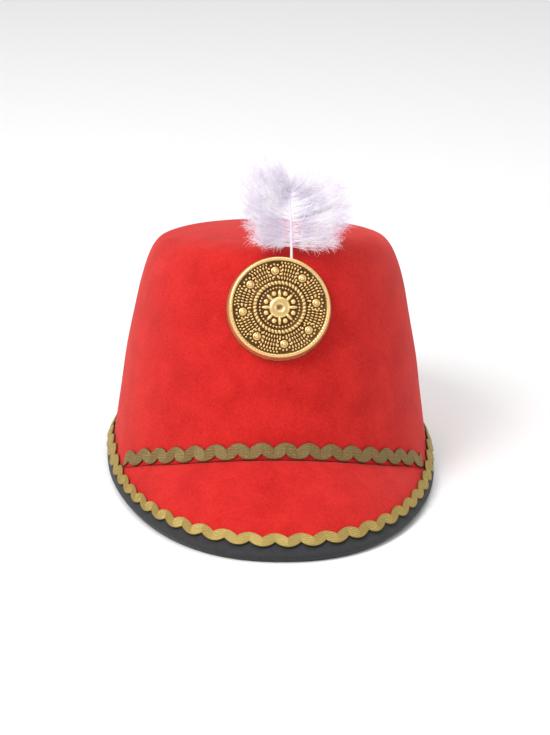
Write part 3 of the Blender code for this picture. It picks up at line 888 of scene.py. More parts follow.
@dataclass(frozen=True)
class FeltBody:
    """The felt crown and its peak, as smooth shells with soft dents."""

    columns: int = 288
    profile_rows: int = 84
    skirt_rows: int = 8
    peak_rows: int = 36
    dent: float = 0.0003

    def profile(self) -> np.ndarray:
        """The crown's profile as a rounded line through its sections and dome, by distance along it.

        Returns:
            Height on the crown's axis and girth, one row a point, from the flare's top to the dome's.
        """
        knots = [(height * FORM.height, girth) for height, girth in FORM.sections]
        last_height, last_girth = knots[-1]
        knots += [(last_height + rise * FORM.dome_rise, girth * last_girth) for rise, girth in FORM.dome]
        knots = np.array(knots)
        lengths = np.linalg.norm(np.diff(knots, axis=0) * (1, FORM.half_width), axis=1)
        places = np.concatenate([[0], np.cumsum(lengths)])
        line = rounded_line(places, knots, np.linspace(0, places[-1], self.profile_rows))
        line[-1, 1] = 0
        return line

    def dents(self, angle: np.ndarray, height: np.ndarray) -> np.ndarray:
        """Soft dents: a sum of three products of sines, fading out near the trim.

        Args:
            angle: angle round the crown.
            height: share of the crown's height.

        Returns:
            Distances outwards.
        """
        waves = (
            np.sin(3 * angle + 1.3) * np.sin(7 * height + 0.4)
            + 0.6 * np.sin(7 * angle + 0.2) * np.sin(11 * height + 2.0)
            + 0.4 * np.sin(12 * angle + 2.2) * np.sin(17 * height + 1.0)
        )
        clear_of_trim = smooth((height - 0.2) / 0.15) * smooth((1.05 - height) / 0.2)
        behind_medallion = 1 - np.exp(-((angle / 0.45) ** 2))
        return self.dent * waves * clear_of_trim * behind_medallion

    def crown_points(self, angle: np.ndarray) -> np.ndarray:
        """Rows of the crown: the skirt from the edge to the seam, the flare, then the profile's rings.

        Args:
            angle: the columns' angles.

        Returns:
            Places in the row's frame, one row of them for each row of the mesh.
        """
        width = FORM.skirt_width(angle)
        skirt = [FORM.up_felt(angle, width * share) for share in np.linspace(0, 1, self.skirt_rows)]
        top = FORM.seam_level(angle) + FORM.flare_rise
        upper = 0.3 * FORM.height
        seam = skirt[-1]
        above = FORM.stand(FORM.wall(angle, top))
        flare = [seam + (above - seam) * share for share in (0.33, 0.67, 1.0)]
        between = [FORM.stand(FORM.wall(angle, top + (upper - top) * share)) for share in (0.25, 0.5, 0.75)]
        rings = []
        for height, girth in self.profile():
            if height >= upper:
                dented = girth + self.dents(angle, height / FORM.height) / FORM.half_width
                rings.append(FORM.stand(FORM.ring(dented * (girth > 0), height, angle)))
        return FORM.place(np.stack([*skirt, *flare, *between, *rings]))

    def crown(self, felt: bpy.types.Material) -> bpy.types.Object:
        """Builds the crown: open below, without a skirt where the peak is.

        Args:
            felt: its finish.

        Returns:
            The piece.
        """
        quarter = np.linspace(-FORM.seam_end, FORM.seam_end, self.columns // 2 + 1)
        behind = np.linspace(FORM.seam_end, 2 * pi - FORM.seam_end, self.columns // 2 + 1)[1:-1]
        angle = np.concatenate([quarter, behind])
        points = self.crown_points((angle + pi) % (2 * pi) - pi)
        faces = grid_faces(len(points), len(angle), True)
        column = np.tile(np.arange(len(angle)), len(points) - 1)
        row = np.repeat(np.arange(len(points) - 1), len(angle))
        in_front = (column < len(quarter) - 1) & (row < self.skirt_rows - 1)
        piece = mesh_object("felt_crown", points, faces[~in_front])
        tidy_mesh(piece, recalculate=False)
        self.thicken(piece)
        dress(piece, "crown", felt)
        return piece

    def peak(self, felt: bpy.types.Material) -> bpy.types.Object:
        """Builds the peak between the lower edge and the seam.

        Args:
            felt: its finish.

        Returns:
            The piece.
        """
        end_gap = 1.5 * FORM.clearance / FORM.half_width
        angle = np.linspace(-FORM.seam_end + end_gap, FORM.seam_end - end_gap, self.columns // 2)
        width = FORM.skirt_width(angle) - 1.5 * FORM.clearance
        rows = [FORM.up_felt(angle, width * share) for share in np.linspace(0, 1, self.peak_rows)]
        points = FORM.place(np.stack(rows))
        piece = mesh_object("felt_peak", points, grid_faces(len(rows), len(angle), False))
        self.thicken(piece)
        dress(piece, "peak", felt)
        return piece

    def thicken(self, piece: bpy.types.Object) -> None:
        """Gives a felt sheet its thickness inwards.

        Args:
            piece: an open sheet whose faces point outwards.
        """
        solid = piece.modifiers.new("felt", "SOLIDIFY")
        solid.thickness = FORM.felt
        solid.offset = -1
        solid.use_even_offset = True


@dataclass(frozen=True)
class EdgeTape:
    """Black tape folded over the lower edge."""

    outside: float = 0.008
    inside: float = 0.005
    columns: int = 420
    fold_steps: int = 8

    def section(self) -> np.ndarray:
        """The tape's section: straight legs and a round fold, flattened below where it rests.

        Returns:
            Distance up the felt and height over its outer face, one row a corner, all round.
        """
        turn = np.linspace(0, pi, self.fold_steps)
        middle = -FORM.felt / 2
        outer = FORM.felt / 2 + FORM.fold
        inner = FORM.felt / 2 + FORM.clearance
        rounding = FORM.fold / outer
        outer_fold = np.stack([-outer * rounding * np.sin(turn), middle + outer * np.cos(turn)], axis=1)
        inner_fold = np.stack([-FORM.clearance * np.sin(turn), middle + inner * np.cos(turn)], axis=1)[::-1]
        high = np.linspace(self.outside, 0.0, 7)[:-1]
        outer_leg = np.stack([high, np.full(6, FORM.fold)], axis=1)
        low = np.linspace(0.0, self.inside, 5)[1:]
        inner_leg = np.stack([low, np.full(4, middle - outer)], axis=1)
        inner_back = np.stack([low[::-1], np.full(4, middle - inner)], axis=1)
        outer_back = np.stack([high[::-1], np.full(6, FORM.clearance)], axis=1)
        return np.concatenate([outer_leg, outer_fold, inner_leg, inner_back, inner_fold, outer_back])

    def build(self, finish: bpy.types.Material) -> bpy.types.Object:
        """Builds the tape, its section carried round the edge and held at or above the floor.

        Args:
            finish: its material.

        Returns:
            The piece.
        """
        angle = np.arange(self.columns) * 2 * pi / self.columns - pi
        section = self.section()
        points = np.stack([FORM.on_felt(angle, up, over + 0 * angle) for up, over in section])
        points[..., 2] = np.maximum(points[..., 2], 0)
        faces = grid_faces(len(section), self.columns, True)
        wrap = grid_faces(2, self.columns, True) % self.columns
        last = (len(section) - 1) * self.columns
        lower, upper = wrap[:, :2] + last, wrap[:, 2:] % self.columns
        points = FORM.place(points)
        piece = mesh_object(
            "woven_edge_tape", points, np.concatenate([faces, np.concatenate([lower, upper], 1)])
        )
        edge = points[len(section) // 4]
        run = np.concatenate([[0], np.cumsum(np.linalg.norm(np.diff(edge, axis=0), axis=1))])
        across = np.concatenate([[0], np.cumsum(np.linalg.norm(np.diff(section, axis=0), axis=1))])
        write_uv(piece, np.tile(run, (len(section), 1)), np.tile(across[:, None], (1, self.columns)))
        tidy_mesh(piece, recalculate=True)
        dress(piece, "edge_binding", finish)
        return piece


class Trim(Enum):
    """The two runs of wavy braid."""

    CROWN = "crown_braid"
    EDGE = "edge_braid"


@dataclass(frozen=True)
class WavyBraid:
    """A run of gold wavy braid, woven of threads that follow its waves."""

    trim: Trim
    pitch: float
    shift: float
    columns: int
    threads: int = 10
    samples: int = 4
    thickness: float = 0.0012
    band: float = 0.006
    scallop: float = 0.0034
    roundness: float = 0.75
    lap: float = 0.0032
    apart: float = 0.0006
    tape_outside: float = 0.008

    @property
    def reach(self) -> float:
        """Width of the run with its scallops."""
        return self.band + self.scallop

    @property
    def edge_top(self) -> float:
        """How far up the felt the lower run reaches."""
        return self.tape_outside - self.lap + self.reach

    def wave(self, place: np.ndarray) -> np.ndarray:
        """Round crests and sharp notches: 2|cos(pi x)|^0.75 - 1.

        Args:
            place: x, in whole waves.

        Returns:
            Values from -1 to 1.
        """
        return 2 * np.abs(np.cos(pi * place)) ** self.roundness - 1

    def run(self) -> tuple[np.ndarray, np.ndarray, np.ndarray, np.ndarray]:
        """Where the run lies: along the seam as far as there is room, or all round the edge.

        Returns:
            Angles, distances along, wave counts, and distances up the felt of the run's middle.
        """
        if self.trim is Trim.CROWN:
            fine = np.linspace(-FORM.seam_end, FORM.seam_end, 721)
            room = FORM.skirt_width(fine) - self.edge_top - self.apart
            fine = fine[room > 0]
            line = FORM.seam(fine)
        else:
            fine = np.linspace(-pi, pi, 721)
            line = FORM.up_felt(fine, self.edge_top - self.reach / 2 + 0 * fine)
        length = np.concatenate([[0], np.cumsum(np.linalg.norm(np.diff(line, axis=0), axis=-1))])
        front = np.interp(0, fine, length)
        closed = self.trim is Trim.EDGE
        places = np.linspace(0, length[-1], self.columns, endpoint=not closed)
        angle = np.interp(places, length, fine)
        pitch = length[-1] / round(length[-1] / self.pitch) if closed else self.pitch
        if closed:
            middle = self.edge_top - self.reach / 2 + 0 * angle
        else:
            middle = FORM.skirt_width(angle) + self.reach / 2
        return angle, places, (places - front - self.shift) / pitch, middle

    def base_height(self, distance: np.ndarray) -> np.ndarray:
        """Height of the braid's back over the felt: flat on it, or sloping up over the tape's edge.

        Args:
            distance: distance up the felt.

        Returns:
            The heights.
        """
        if self.trim is Trim.CROWN:
            return FORM.clearance + 0 * distance
        share = (self.edge_top - distance) / (self.edge_top - self.tape_outside)
        return FORM.clearance + share * FORM.fold

    def build(self, finish: bpy.types.Material) -> bpy.types.Object:
        """Builds the run: threads are ridges |sin| across a band between two scalloped edges.

        Args:
            finish: its material.

        Returns:
            The piece.
        """
        angle, along, waves, middle = self.run()
        upper = middle + self.band / 2 + self.scallop / 2 * self.wave(waves)
        lower = middle - self.band / 2 - self.scallop / 2 * self.wave(waves + 0.5)
        share = np.linspace(0, 1, self.threads * self.samples + 1)
        thread = np.abs(np.sin(pi * self.threads * share)) ** 0.7
        edge = np.minimum(1, np.minimum(share, 1 - share) * self.threads)
        plait = np.sin(2 * pi * (waves[None] * 4 + np.floor(share * self.threads - 1e-6)[:, None] / 2))
        relief = 0.55 + 0.33 * thread[:, None] * edge[:, None] ** 0.5 + 0.12 * plait * edge[:, None]
        front = []
        for level, rise in zip(share, relief):
            up = lower + (upper - lower) * level
            front.append(FORM.on_felt(angle, up, self.base_height(up) + self.thickness * rise))
        back = [FORM.on_felt(angle, up, self.base_height(up)) for up in (upper, lower)]
        points = FORM.place(np.stack([*front, *back]))
        closed = self.trim is Trim.EDGE
        rows, columns = len(points), len(angle)
        faces = grid_faces(rows, columns, closed)
        wrap = grid_faces(2, columns, closed)
        faces = np.concatenate([faces, np.where(wrap < columns, wrap + (rows - 1) * columns, wrap - columns)])
        # 1 on the threads' crests and 0 between them: the finish paints shade between the threads and glints on
        # the crests from it
        levels = np.concatenate([thread * edge**0.5, [0, 0]])
        lit_crest = np.tile(levels[:, None], (1, columns))
        piece = mesh_object(f"wavy_{self.trim.value}", points, faces, {"lit_crest": lit_crest})
        across = np.concatenate([share, [1, 0]]) * self.band
        write_uv(piece, np.tile(along, (rows, 1)), np.tile(across[:, None], (1, columns)))
        if not closed:
            self.close_ends(piece, rows, columns)
        dress(piece, self.trim.value, finish)
        return piece

    def close_ends(self, piece: bpy.types.Object, rows: int, columns: int) -> None:
        """Closes the two cut ends of an open run.

        Args:
            piece: the run.
            rows: points round its section.
            columns: points along it.
        """
        build = bmesh.new()
        build.from_mesh(piece.data)
        build.verts.ensure_lookup_table()
        for column in (0, columns - 1):
            build.faces.new([build.verts[row * columns + column] for row in range(rows)])
        bmesh.ops.recalc_face_normals(build, faces=build.faces)
        build.to_mesh(piece.data)
        build.free()


@dataclass
class CastParts:
    """Meshes of the medallion being gathered into one."""

    points: list
    faces: list
    polish_and_shade: list

    def add(self, points: np.ndarray, faces: np.ndarray, polish_and_shade: np.ndarray) -> None:
        """Adds one mesh.

        Args:
            points: its points.
            faces: its faces.
            polish_and_shade: how polished each point is and how far it is out of the painted shade in the
                hollows, from 0 to 1.
        """
        base = sum(len(part) for part in self.points)
        self.points.append(points.reshape(-1, 3))
        self.faces.append(faces + base)
        self.polish_and_shade.append(polish_and_shade.ravel())


@dataclass(frozen=True)
class Beads:
    """A pattern of like raised beads on the medallion's face, as half ellipsoids."""

    radius: np.ndarray
    turn: np.ndarray
    length: float
    width: float
    rise: float
    sunk: float = 0.0
    slant: float = 0.0


@dataclass(frozen=True)
class Medallion:
    """The gilt cast medallion: a turned disc with beads, ropes, a star and rosettes raised on it."""

    radius: float = 0.0272
    centre_height: float = 0.080
    thickness: float = 0.0085
    draft: float = 0.0012
    bedding: float = 0.0035
    relief: float = 0.0013
    star_points: int = 8
    rosette_turn: float = radians(7)
    sides: int = 192
    bead_sides: int = 12
    bead_rows: int = 5
    wall_gap: float = 0.0004

    def turned_face(self) -> np.ndarray:
        """The disc's profile from the middle to the back of its side.

        Returns:
            Radius as a share, height over the face as a share of the relief, and polish with painted shade, low
            in the hollows, one row a point.
        """
        return np.array(
            (
                # radius, height, polish and painted shade
                (0.000, 0.05, 0.15),
                (0.040, 0.08, 0.20),
                (0.062, 0.55, 0.45),
                (0.085, 0.95, 1.00),
                (0.130, 1.02, 1.00),
                (0.175, 0.92, 0.95),
                (0.200, 0.60, 0.70),
                (0.215, 0.10, 0.05),
                (0.370, 0.02, 0.00),
                (0.450, 0.02, 0.00),
                (0.465, 0.35, 0.20),
                (0.515, 0.35, 0.20),
                (0.530, 0.02, 0.00),
                (0.700, 0.10, 0.05),
                (0.915, 0.10, 0.00),
                (0.925, 0.20, 0.15),
                (0.945, 0.75, 0.85),
                (0.970, 0.85, 0.95),
                (0.990, 0.65, 0.90),
                (1.000, 0.30, 0.80),
            )
        )

    def disc(self, parts: CastParts) -> None:
        """Turns the profile round and adds the drafted side with its back edge on the wall.

        Args:
            parts: where the mesh goes.
        """
        turn = np.arange(self.sides) * 2 * pi / self.sides
        rows = [
            (share * self.radius, height * self.relief, polish_and_shade)
            for share, height, polish_and_shade in self.turned_face()
        ]
        # painted shade: the drafted side gets less polish, darker towards its back edge
        for share, polish_and_shade in ((0.15, 0.7), (0.45, 0.55), (0.75, 0.4), (1.0, 0.15)):
            rows.append((self.radius + self.draft * share, -self.thickness * share, polish_and_shade))
        rows.append((0.9 * self.radius, -self.thickness, 0.0))
        rows = np.array(rows)[::-1]
        x = rows[:, None, 0] * np.cos(turn)
        y = rows[:, None, 0] * np.sin(turn)
        z = np.broadcast_to(rows[:, None, 1], x.shape)
        polish_and_shade = np.broadcast_to(rows[:, None, 2], x.shape)
        parts.add(np.stack([x, y, z], -1), grid_faces(len(rows), self.sides, True), polish_and_shade)

    def add_beads(self, parts: CastParts, beads: Beads) -> None:
        """Adds half ellipsoids: x, y and z are cosines and sines times length, width and rise, then turned.

        Args:
            parts: where the mesh goes.
            beads: the pattern.
        """
        radius, turn = (array.ravel() for array in np.broadcast_arrays(beads.radius, beads.turn))
        tilt = np.linspace(0, pi / 2, self.bead_rows)
        around = np.arange(self.bead_sides) * 2 * pi / self.bead_sides
        x = beads.length / 2 * np.cos(tilt)[:, None] * np.cos(around)
        y = beads.width / 2 * np.cos(tilt)[:, None] * np.sin(around)
        z = beads.sunk + beads.rise * np.sin(tilt)[:, None] + 0 * around
        own = turn + beads.slant
        points = np.empty((len(turn), *x.shape, 3))
        points[..., 0] = x * np.cos(own)[:, None, None] - y * np.sin(own)[:, None, None]
        points[..., 1] = x * np.sin(own)[:, None, None] + y * np.cos(own)[:, None, None]
        points[..., 0] += (radius * np.cos(turn))[:, None, None] * self.radius
        points[..., 1] += (radius * np.sin(turn))[:, None, None] * self.radius
        points[..., 2] = z
        one = grid_faces(self.bead_rows, self.bead_sides, True)
        faces = one[None] + (np.arange(len(turn)) * x.size)[:, None, None]
        # painted shade: each bead is darker towards its foot
        polish_and_shade = np.broadcast_to(np.sin(tilt)[:, None] ** 0.8, (len(turn), *x.shape))
        parts.add(points, faces.reshape(-1, 4), polish_and_shade)

    def ring(self, count: int, radius: float, offset: float = 0.0) -> tuple[np.ndarray, np.ndarray]:
        """Even places round a circle.

        Args:
            count: how many.
            radius: the circle's radius, as a share.
            offset: how far round the first lies, as a share of the step.

        Returns:
            Radii and turns.
        """
        return np.full(count, radius), (np.arange(count) + offset) * 2 * pi / count

    def patterns(self) -> list[Beads]:
        """The raised patterns, from the middle outwards.

        Returns:
            One entry for each pattern.
        """
        unit_length = self.radius
        eighths = np.arange(self.star_points) * 2 * pi / self.star_points
        found = [
            Beads(np.full(8, 0.265), eighths, 0.20 * unit_length, 0.075 * unit_length, 0.95 * self.relief),
            Beads(
                np.full(8, 0.29), eighths + pi / 8, 0.112 * unit_length, 0.112 * unit_length, 1.1 * self.relief
            ),
            Beads(*self.ring(40, 0.392), 0.045 * unit_length, 0.045 * unit_length, 0.55 * self.relief),
            Beads(
                *self.ring(44, 0.49), 0.10 * unit_length, 0.062 * unit_length, 0.9 * self.relief, slant=0.5
            ),
            Beads(*self.ring(92, 0.956), 0.055 * unit_length, 0.058 * unit_length, 1.1 * self.relief),
        ]
        found += self.rosettes(eighths + self.rosette_turn)
        found += self.bars(eighths + self.rosette_turn + pi / 8)
        return found

    def rosettes(self, turns: np.ndarray) -> list[Beads]:
        """Eight rosettes, each a pearl on a collar with a ring of small beads round it.

        Args:
            turns: where they lie round the medallion.

        Returns:
            The patterns.
        """
        small = np.arange(11) * 2 * pi / 11
        x = 0.73 * np.cos(turns)[:, None] + 0.127 * np.cos(small)
        y = 0.73 * np.sin(turns)[:, None] + 0.127 * np.sin(small)
        bead = 0.055 * self.radius
        return [
            Beads(np.full(8, 0.73), turns, 0.175 * self.radius, 0.175 * self.radius, 0.55 * self.relief),
            Beads(np.full(8, 0.73), turns, 0.115 * self.radius, 0.115 * self.radius, 1.35 * self.relief),
            Beads(np.hypot(x, y), np.arctan2(y, x), bead, bead, 0.85 * self.relief),
        ]

    def bars(self, turns: np.ndarray) -> list[Beads]:
        """Radial bars between the rosettes: short ribs within and beads without, fanned out side by side.

        Args:
            turns: the middles of the gaps between rosettes.

        Returns:
            The patterns.
        """
        found = []
        for radius, half_spread, count, length in (
            (0.585, 0.29, 7, 0.075),
            (0.665, 0.20, 6, 0.075),
            (0.745, 0.185, 6, 0.078),
            (0.825, 0.19, 6, 0.078),
            (0.885, 0.215, 7, 0.052),
        ):
            spread = np.linspace(-half_spread, half_spread, count)
            all_turns = (turns[:, None] + spread).ravel()
            width = min(0.052, 1.75 * half_spread * radius / count)
            radii = np.full(all_turns.shape, radius)
            found.append(
                Beads(radii, all_turns, length * self.radius, width * self.radius, 0.85 * self.relief)
            )
        return found

    def build(self, finish: bpy.types.Material) -> bpy.types.Object:
        """Builds the medallion in its place on the crown.

        Args:
            finish: its material.

        Returns:
            The piece.
        """
        parts = CastParts([], [], [])
        self.disc(parts)
        for beads in self.patterns():
            self.add_beads(parts, beads)
        points = np.concatenate(parts.points)
        frame = FORM.front_frame(self.centre_height)
        points = points + (0, 0, self.thickness - self.bedding)
        points = self.off_the_wall(points, frame)
        placed = points @ frame[:3, :3].T + frame[:3, 3]
        # the point attribute carries polish and the painted crevice shade
        piece = mesh_object(
            "cast_medallion", placed, np.concatenate(parts.faces), {"polish_and_shade": np.concatenate(parts.polish_and_shade)}
        )
        tidy_mesh(piece, recalculate=False)
        dress(piece, "medallion", finish)
        return piece

    def off_the_wall(self, points: np.ndarray, frame: np.ndarray) -> np.ndarray:
        """Lifts the back of the side so that it follows the crown's curve at a small gap.

        Args:
            points: places in the medallion's frame.
            frame: that frame, in the row's frame.

        Returns:
            The places, none behind the wall.
        """
        heights = np.linspace(0.4, 0.97, 60) * FORM.height
        angles = np.linspace(-0.6, 0.6, 121)
        mesh_angle, mesh_height = np.meshgrid(angles, heights)
        wall = FORM.place(FORM.stand(FORM.wall(mesh_angle, mesh_height))).reshape(-1, 3)
        local = (wall - frame[:3, 3]) @ frame[:3, :3]
        low = points[:, 2] < self.wall_gap
        nearest = np.argmin(
            (points[low, None, 0] - local[None, :, 0]) ** 2
            + (points[low, None, 1] - local[None, :, 1]) ** 2,
            axis=1,
        )
        lifted = points.copy()
        lifted[low, 2] = np.maximum(points[low, 2], local[nearest, 2] + self.wall_gap)
        return lifted


@dataclass(frozen=True)
class Plume:
    """A feather of white down: barbs that leave the shaft and break up into fine loose barbules."""

    height: float = 0.080
    across: float = 0.0066
    foot: float = 0.012
    shaft_top: float = 0.066
    shaft_radius: float = 0.0009
    tip_radius: float = 0.0003
    medallion_height: float = 0.080
    barbs: int = 900
    barb_steps: int = 9
    barbules: int = 22
    barb_width: float = 0.00016
    barbule_width: float = 0.00010
    seed: int = 11

    def outline(self, side: np.ndarray, rise: np.ndarray) -> np.ndarray:
        """How far a barb reaches: a rounded line through the plume's width at each root height.

        Args:
            side: -1 for the left barbs and 1 for the right ones.
            rise: root height as a share of the barbs' stretch of the shaft.

        Returns:
            Reach sideways, rise and length as shares of the plume's height, one row a barb.
        """
        left = np.array(
            (
                # root, tip across, tip up
                (0.00, -0.24, 0.43),
                (0.12, -0.28, 0.52),
                (0.30, -0.34, 0.68),
                (0.50, -0.36, 0.86),
                (0.70, -0.30, 0.97),
                (0.85, -0.18, 0.99),
                (1.00, -0.06, 0.95),
            )
        )
        right = np.array(
            (
                # root, tip across, tip up
                (0.00, 0.28, 0.40),
                (0.12, 0.35, 0.50),
                (0.30, 0.40, 0.62),
                (0.50, 0.40, 0.76),
                (0.70, 0.33, 0.87),
                (0.85, 0.20, 0.92),
                (1.00, 0.04, 0.93),
            )
        )
        reach = [rounded_line(table[:, 0], table[:, 1:], rise) for table in (left, right)]
        return np.where(side[:, None] < 0, reach[0], reach[1])

    def barb_lines(self, rng: np.random.Generator) -> np.ndarray:
        """Centre lines of the barbs: quadratic curves from the shaft that bend up to their tips.

        Args:
            rng: the random draws.

        Returns:
            Places in the medallion's frame, by barb and step.
        """
        side = np.where(rng.random(self.barbs) < 0.5, -1.0, 1.0)
        rise = rng.random(self.barbs) ** 0.9
        tip = self.outline(side, rise) * self.height
        share = rng.uniform(0.72, 1.04, self.barbs)[:, None]
        root_up = 0.033 + rise * (self.shaft_top - 0.034)
        out = self.shaft_radius + 1.5 * FORM.clearance
        start = np.stack([np.full(self.barbs, self.across), root_up, np.full(self.barbs, out)], axis=1)
        depth = rng.normal(0, 0.06, self.barbs) * self.height
        depth = np.maximum(depth, np.where(root_up < 0.045, 0.002, -0.006))
        end = np.stack([tip[:, 0] + self.across, tip[:, 1], out + depth], axis=1)
        end = start + (end - start) * share
        end[:, :2] += rng.normal(0, 0.0016, (self.barbs, 2))
        bend = start + (end - start) * (0.62, 0.30, 0.5) + rng.normal(0, 0.0011, (self.barbs, 3))
        t = np.linspace(0, 1, self.barb_steps)[None, :, None]
        return (1 - t) ** 2 * start[:, None] + 2 * t * (1 - t) * bend[:, None] + t**2 * end[:, None]

    def ribbons(self, lines: np.ndarray, width: np.ndarray) -> tuple[np.ndarray, np.ndarray]:
        """Flat ribbons along lines: each point is put half the width to either side.

        Args:
            lines: centre lines, by ribbon and step.
            width: width at each step.

        Returns:
            Points and faces.
        """
        count, steps = lines.shape[:2]
        along = np.gradient(lines, axis=1)
        facing = np.array([0.15, 0.25, 1.0])
        side = unit(np.cross(along, facing) + 1e-12)
        pairs = np.stack([lines - side * width[..., None] / 2, lines + side * width[..., None] / 2], axis=2)
        one = np.array([(2 * k, 2 * k + 1, 2 * k + 3, 2 * k + 2) for k in range(steps - 1)])
        faces = one[None] + (np.arange(count) * steps * 2)[:, None, None]
        return pairs.reshape(-1, 3), faces.reshape(-1, 4)

    def barbule_lines(self, barbs: np.ndarray, rng: np.random.Generator) -> np.ndarray:
        """Fine hairs off each barb: they lean along it, spread to both sides and droop at random.

        Args:
            barbs: the barbs' centre lines.
            rng: the random draws.

        Returns:
            Centre lines of three steps each.
        """
        count, steps = barbs.shape[:2]
        place = rng.uniform(0.12, 1.0, (count, self.barbules)) * (steps - 1)
        low = np.minimum(place.astype(int), steps - 2)
        part = (place - low)[..., None]
        rows = np.arange(count)[:, None]
        root = barbs[rows, low] * (1 - part) + barbs[rows, low + 1] * part
        along = unit(barbs[rows, low + 1] - barbs[rows, low])
        side = unit(np.cross(along, (0, 0, 1.0))) * rng.choice((-1, 1), (count, self.barbules))[..., None]
        length = rng.uniform(0.0018, 0.0052, (count, self.barbules))[..., None]
        way = along * rng.uniform(0.5, 1.1, length.shape) + side * rng.uniform(0.3, 0.9, length.shape)
        way = way + rng.normal(0, 0.28, root.shape)
        end = root + unit(way) * length
        middle = (root + end) / 2 + along * length * 0.12
        return np.stack([root, middle, end], axis=2).reshape(-1, 3, 3)

    def shaft(self) -> tuple[np.ndarray, np.ndarray]:
        """The shaft: a tapered tube that curves a little to the left at its top.

        Returns:
            Points and faces.
        """
        steps, sides = 16, 8
        t = np.linspace(0, 1, steps)
        up = self.foot + (self.shaft_top - self.foot) * t
        middle = self.across - 0.0014 * np.sin(pi * np.clip((t - 0.5) * 2, 0, 1) / 2) ** 2
        radius = (self.shaft_radius + (self.tip_radius - self.shaft_radius) * t) * (t > -1)
        around = -np.arange(sides) * 2 * pi / sides
        x = middle[:, None] + radius[:, None] * np.cos(around)
        z = self.shaft_radius + 1.5 * FORM.clearance + radius[:, None] * np.sin(around)
        points = np.stack([x, up[:, None] + 0 * x, z], axis=-1)
        return points.reshape(-1, 3), grid_faces(steps, sides, True)

    def build(self, finish: bpy.types.Material) -> bpy.types.Object:
        """Builds the plume in its place on the crown.

        Args:
            finish: its material.

        Returns:
            The piece.
        """
        rng = np.random.default_rng(self.seed)
        barbs = self.barb_lines(rng)
        taper = np.linspace(1, 0.35, self.barb_steps)
        parts = [self.shaft(), self.ribbons(barbs, np.broadcast_to(self.barb_width * taper, barbs.shape[:2]))]
        hairs = self.barbule_lines(barbs, rng)
        hair_taper = self.barbule_width * np.array([1, 0.8, 0.3])
        parts.append(self.ribbons(hairs, np.broadcast_to(hair_taper, hairs.shape[:2])))
        base = np.cumsum([0] + [len(points) for points, _ in parts[:-1]])
        points = np.concatenate([points for points, _ in parts])
        faces = np.concatenate([faces + start for (_, faces), start in zip(parts, base)])
        frame = FORM.front_frame(self.medallion_height)
        piece = mesh_object("down_plume", points @ frame[:3, :3].T + frame[:3, 3], faces)
        dress(piece, "plume", finish)
        return piece


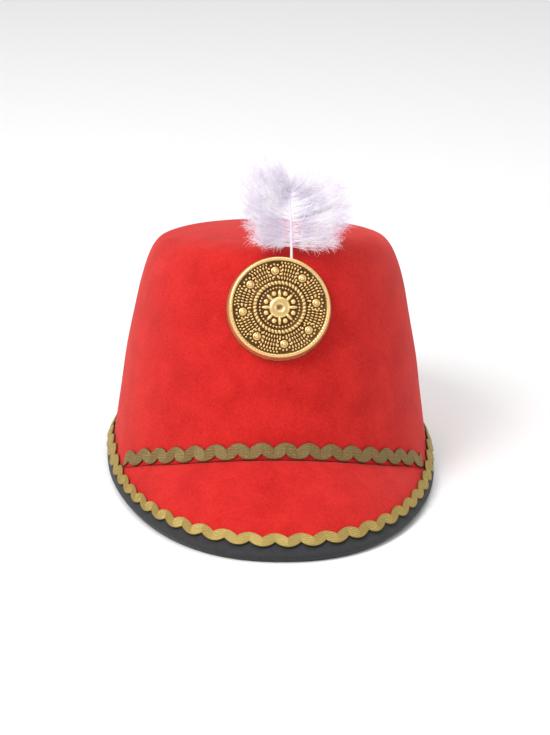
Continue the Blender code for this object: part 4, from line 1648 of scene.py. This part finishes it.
@dataclass(frozen=True)
class Studio:
    """A pale floor, soft lights from the upper left, and the camera at the photograph's angle."""

    elevation: float = radians(19.77)
    yaw: float = radians(-2.96)
    roll: float = radians(1.24)
    distance: float = 1.5
    aim_height: float = 0.070
    focal_pixels: float = 2641.0
    aim_pixel: tuple[float, float] = (271.76, 336.12)
    floor_size: float = 12.0

    def camera(self) -> None:
        """Makes the camera: its axis goes through the aim, which the shift puts at its own pixel."""
        width, height = IMAGE_SIZE
        back = np.array(
            [
                sin(self.yaw) * cos(self.elevation),
                -cos(self.yaw) * cos(self.elevation),
                sin(self.elevation),
            ]
        )
        right = np.array([cos(self.yaw), sin(self.yaw), 0])
        up = np.cross(back, right)
        rolled_right = right * cos(self.roll) + up * sin(self.roll)
        rolled_up = -right * sin(self.roll) + up * cos(self.roll)
        matrix = np.eye(4)
        matrix[:3, 0], matrix[:3, 1], matrix[:3, 2] = rolled_right, rolled_up, back
        matrix[:3, 3] = FORM.place(np.array([0, 0, self.aim_height])) + back * self.distance
        data = bpy.data.cameras.new("photo_camera")
        data.sensor_width = 36.0
        data.lens = self.focal_pixels / height * data.sensor_width
        data.shift_x = (width / 2 - self.aim_pixel[0]) / height
        data.shift_y = (self.aim_pixel[1] - height / 2) / height
        camera = bpy.data.objects.new("photo_camera", data)
        camera.matrix_world = Matrix(matrix.tolist())
        bpy.context.scene.collection.objects.link(camera)
        bpy.context.scene.camera = camera

    def floor(self) -> None:
        """Makes the floor."""
        half = self.floor_size / 2
        corners = np.array([(-half, -half, 0), (half, -half, 0), (half, half, 0), (-half, half, 0)])
        floor = mesh_object("pale_floor", corners, np.array([(0, 1, 2, 3)]))
        material, _, shader = new_material("pale_floor")
        shader.inputs["Base Color"].default_value = (0.86, 0.86, 0.86, 1)
        shader.inputs["Roughness"].default_value = 0.9
        floor.data.materials.append(material)

    def light(self, name: str, place: tuple, size: float, power: float, colour: tuple = (1, 1, 1)) -> None:
        """Makes one soft square light that faces the hat.

        Args:
            name: the light's name.
            place: where it stands.
            size: its side.
            power: its power in watts.
            colour: its colour.
        """
        data = bpy.data.lights.new(name, "AREA")
        data.shape = "SQUARE"
        data.size = size
        data.energy = power
        data.color = colour
        lamp = bpy.data.objects.new(name, data)
        back = unit(np.array(place) - (0, 0, self.aim_height))
        right = unit(np.cross((0, 0, 1.0), back))
        matrix = np.eye(4)
        matrix[:3, 0], matrix[:3, 1], matrix[:3, 2] = right, np.cross(back, right), back
        matrix[:3, 3] = place
        lamp.matrix_world = Matrix(matrix.tolist())
        bpy.context.scene.collection.objects.link(lamp)

    def world(self) -> None:
        """Sets a plain pale surrounding light."""
        world = bpy.data.worlds.new("pale_room")
        world.use_nodes = True
        background = world.node_tree.nodes["Background"]
        background.inputs["Color"].default_value = (1, 1, 1, 1)
        background.inputs["Strength"].default_value = 0.55
        bpy.context.scene.world = world

    def build(self) -> None:
        """Sets up camera, floor, lights and surroundings."""
        self.camera()
        self.floor()
        self.light("key_upper_left", (-0.9, -0.7, 1.3), 0.8, 22)
        self.light("fill_right", (1.3, -0.9, 0.8), 1.0, 4)
        self.light("top_soft", (0.1, 0.3, 1.6), 1.2, 10)
        self.world()
        bpy.context.scene.view_settings.view_transform = "Standard"


def main() -> None:
    """Loads the frame, dresses each piece and sets up the studio."""
    logging.basicConfig(level=logging.INFO, format="%(name)s %(message)s")
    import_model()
    Studio().build()
    weave = weave_group()
    felt = FeltFinish().build(fibre_group())
    body = FeltBody()
    body.crown(felt)
    body.peak(felt)
    EdgeTape().build(TapeFinish().build(weave))
    # One gold braid in two painted copies: the crown's darker copy is painted shade, and the edge's brighter
    # copy is painted light, as the edge braid faces up.
    shaded_braid_finish = BraidFinish(
        "shaded_gold_braid", (0.42, 0.29, 0.10, 1), (0.06, 0.035, 0.012, 1), (0.75, 0.62, 0.22, 1)
    )
    lit_braid_finish = BraidFinish(
        "lit_gold_braid", (0.66, 0.50, 0.15, 1), (0.16, 0.09, 0.015, 1), (0.95, 0.88, 0.30, 1)
    )
    WavyBraid(Trim.CROWN, 0.0129, 0.0038, 900).build(shaded_braid_finish.build(weave))
    WavyBraid(Trim.EDGE, 0.0133, -0.0035, 2000).build(lit_braid_finish.build(weave))
    Medallion().build(GiltFinish().build())
    Plume().build(DownFinish().build())


if __name__ == "__main__":
    main()
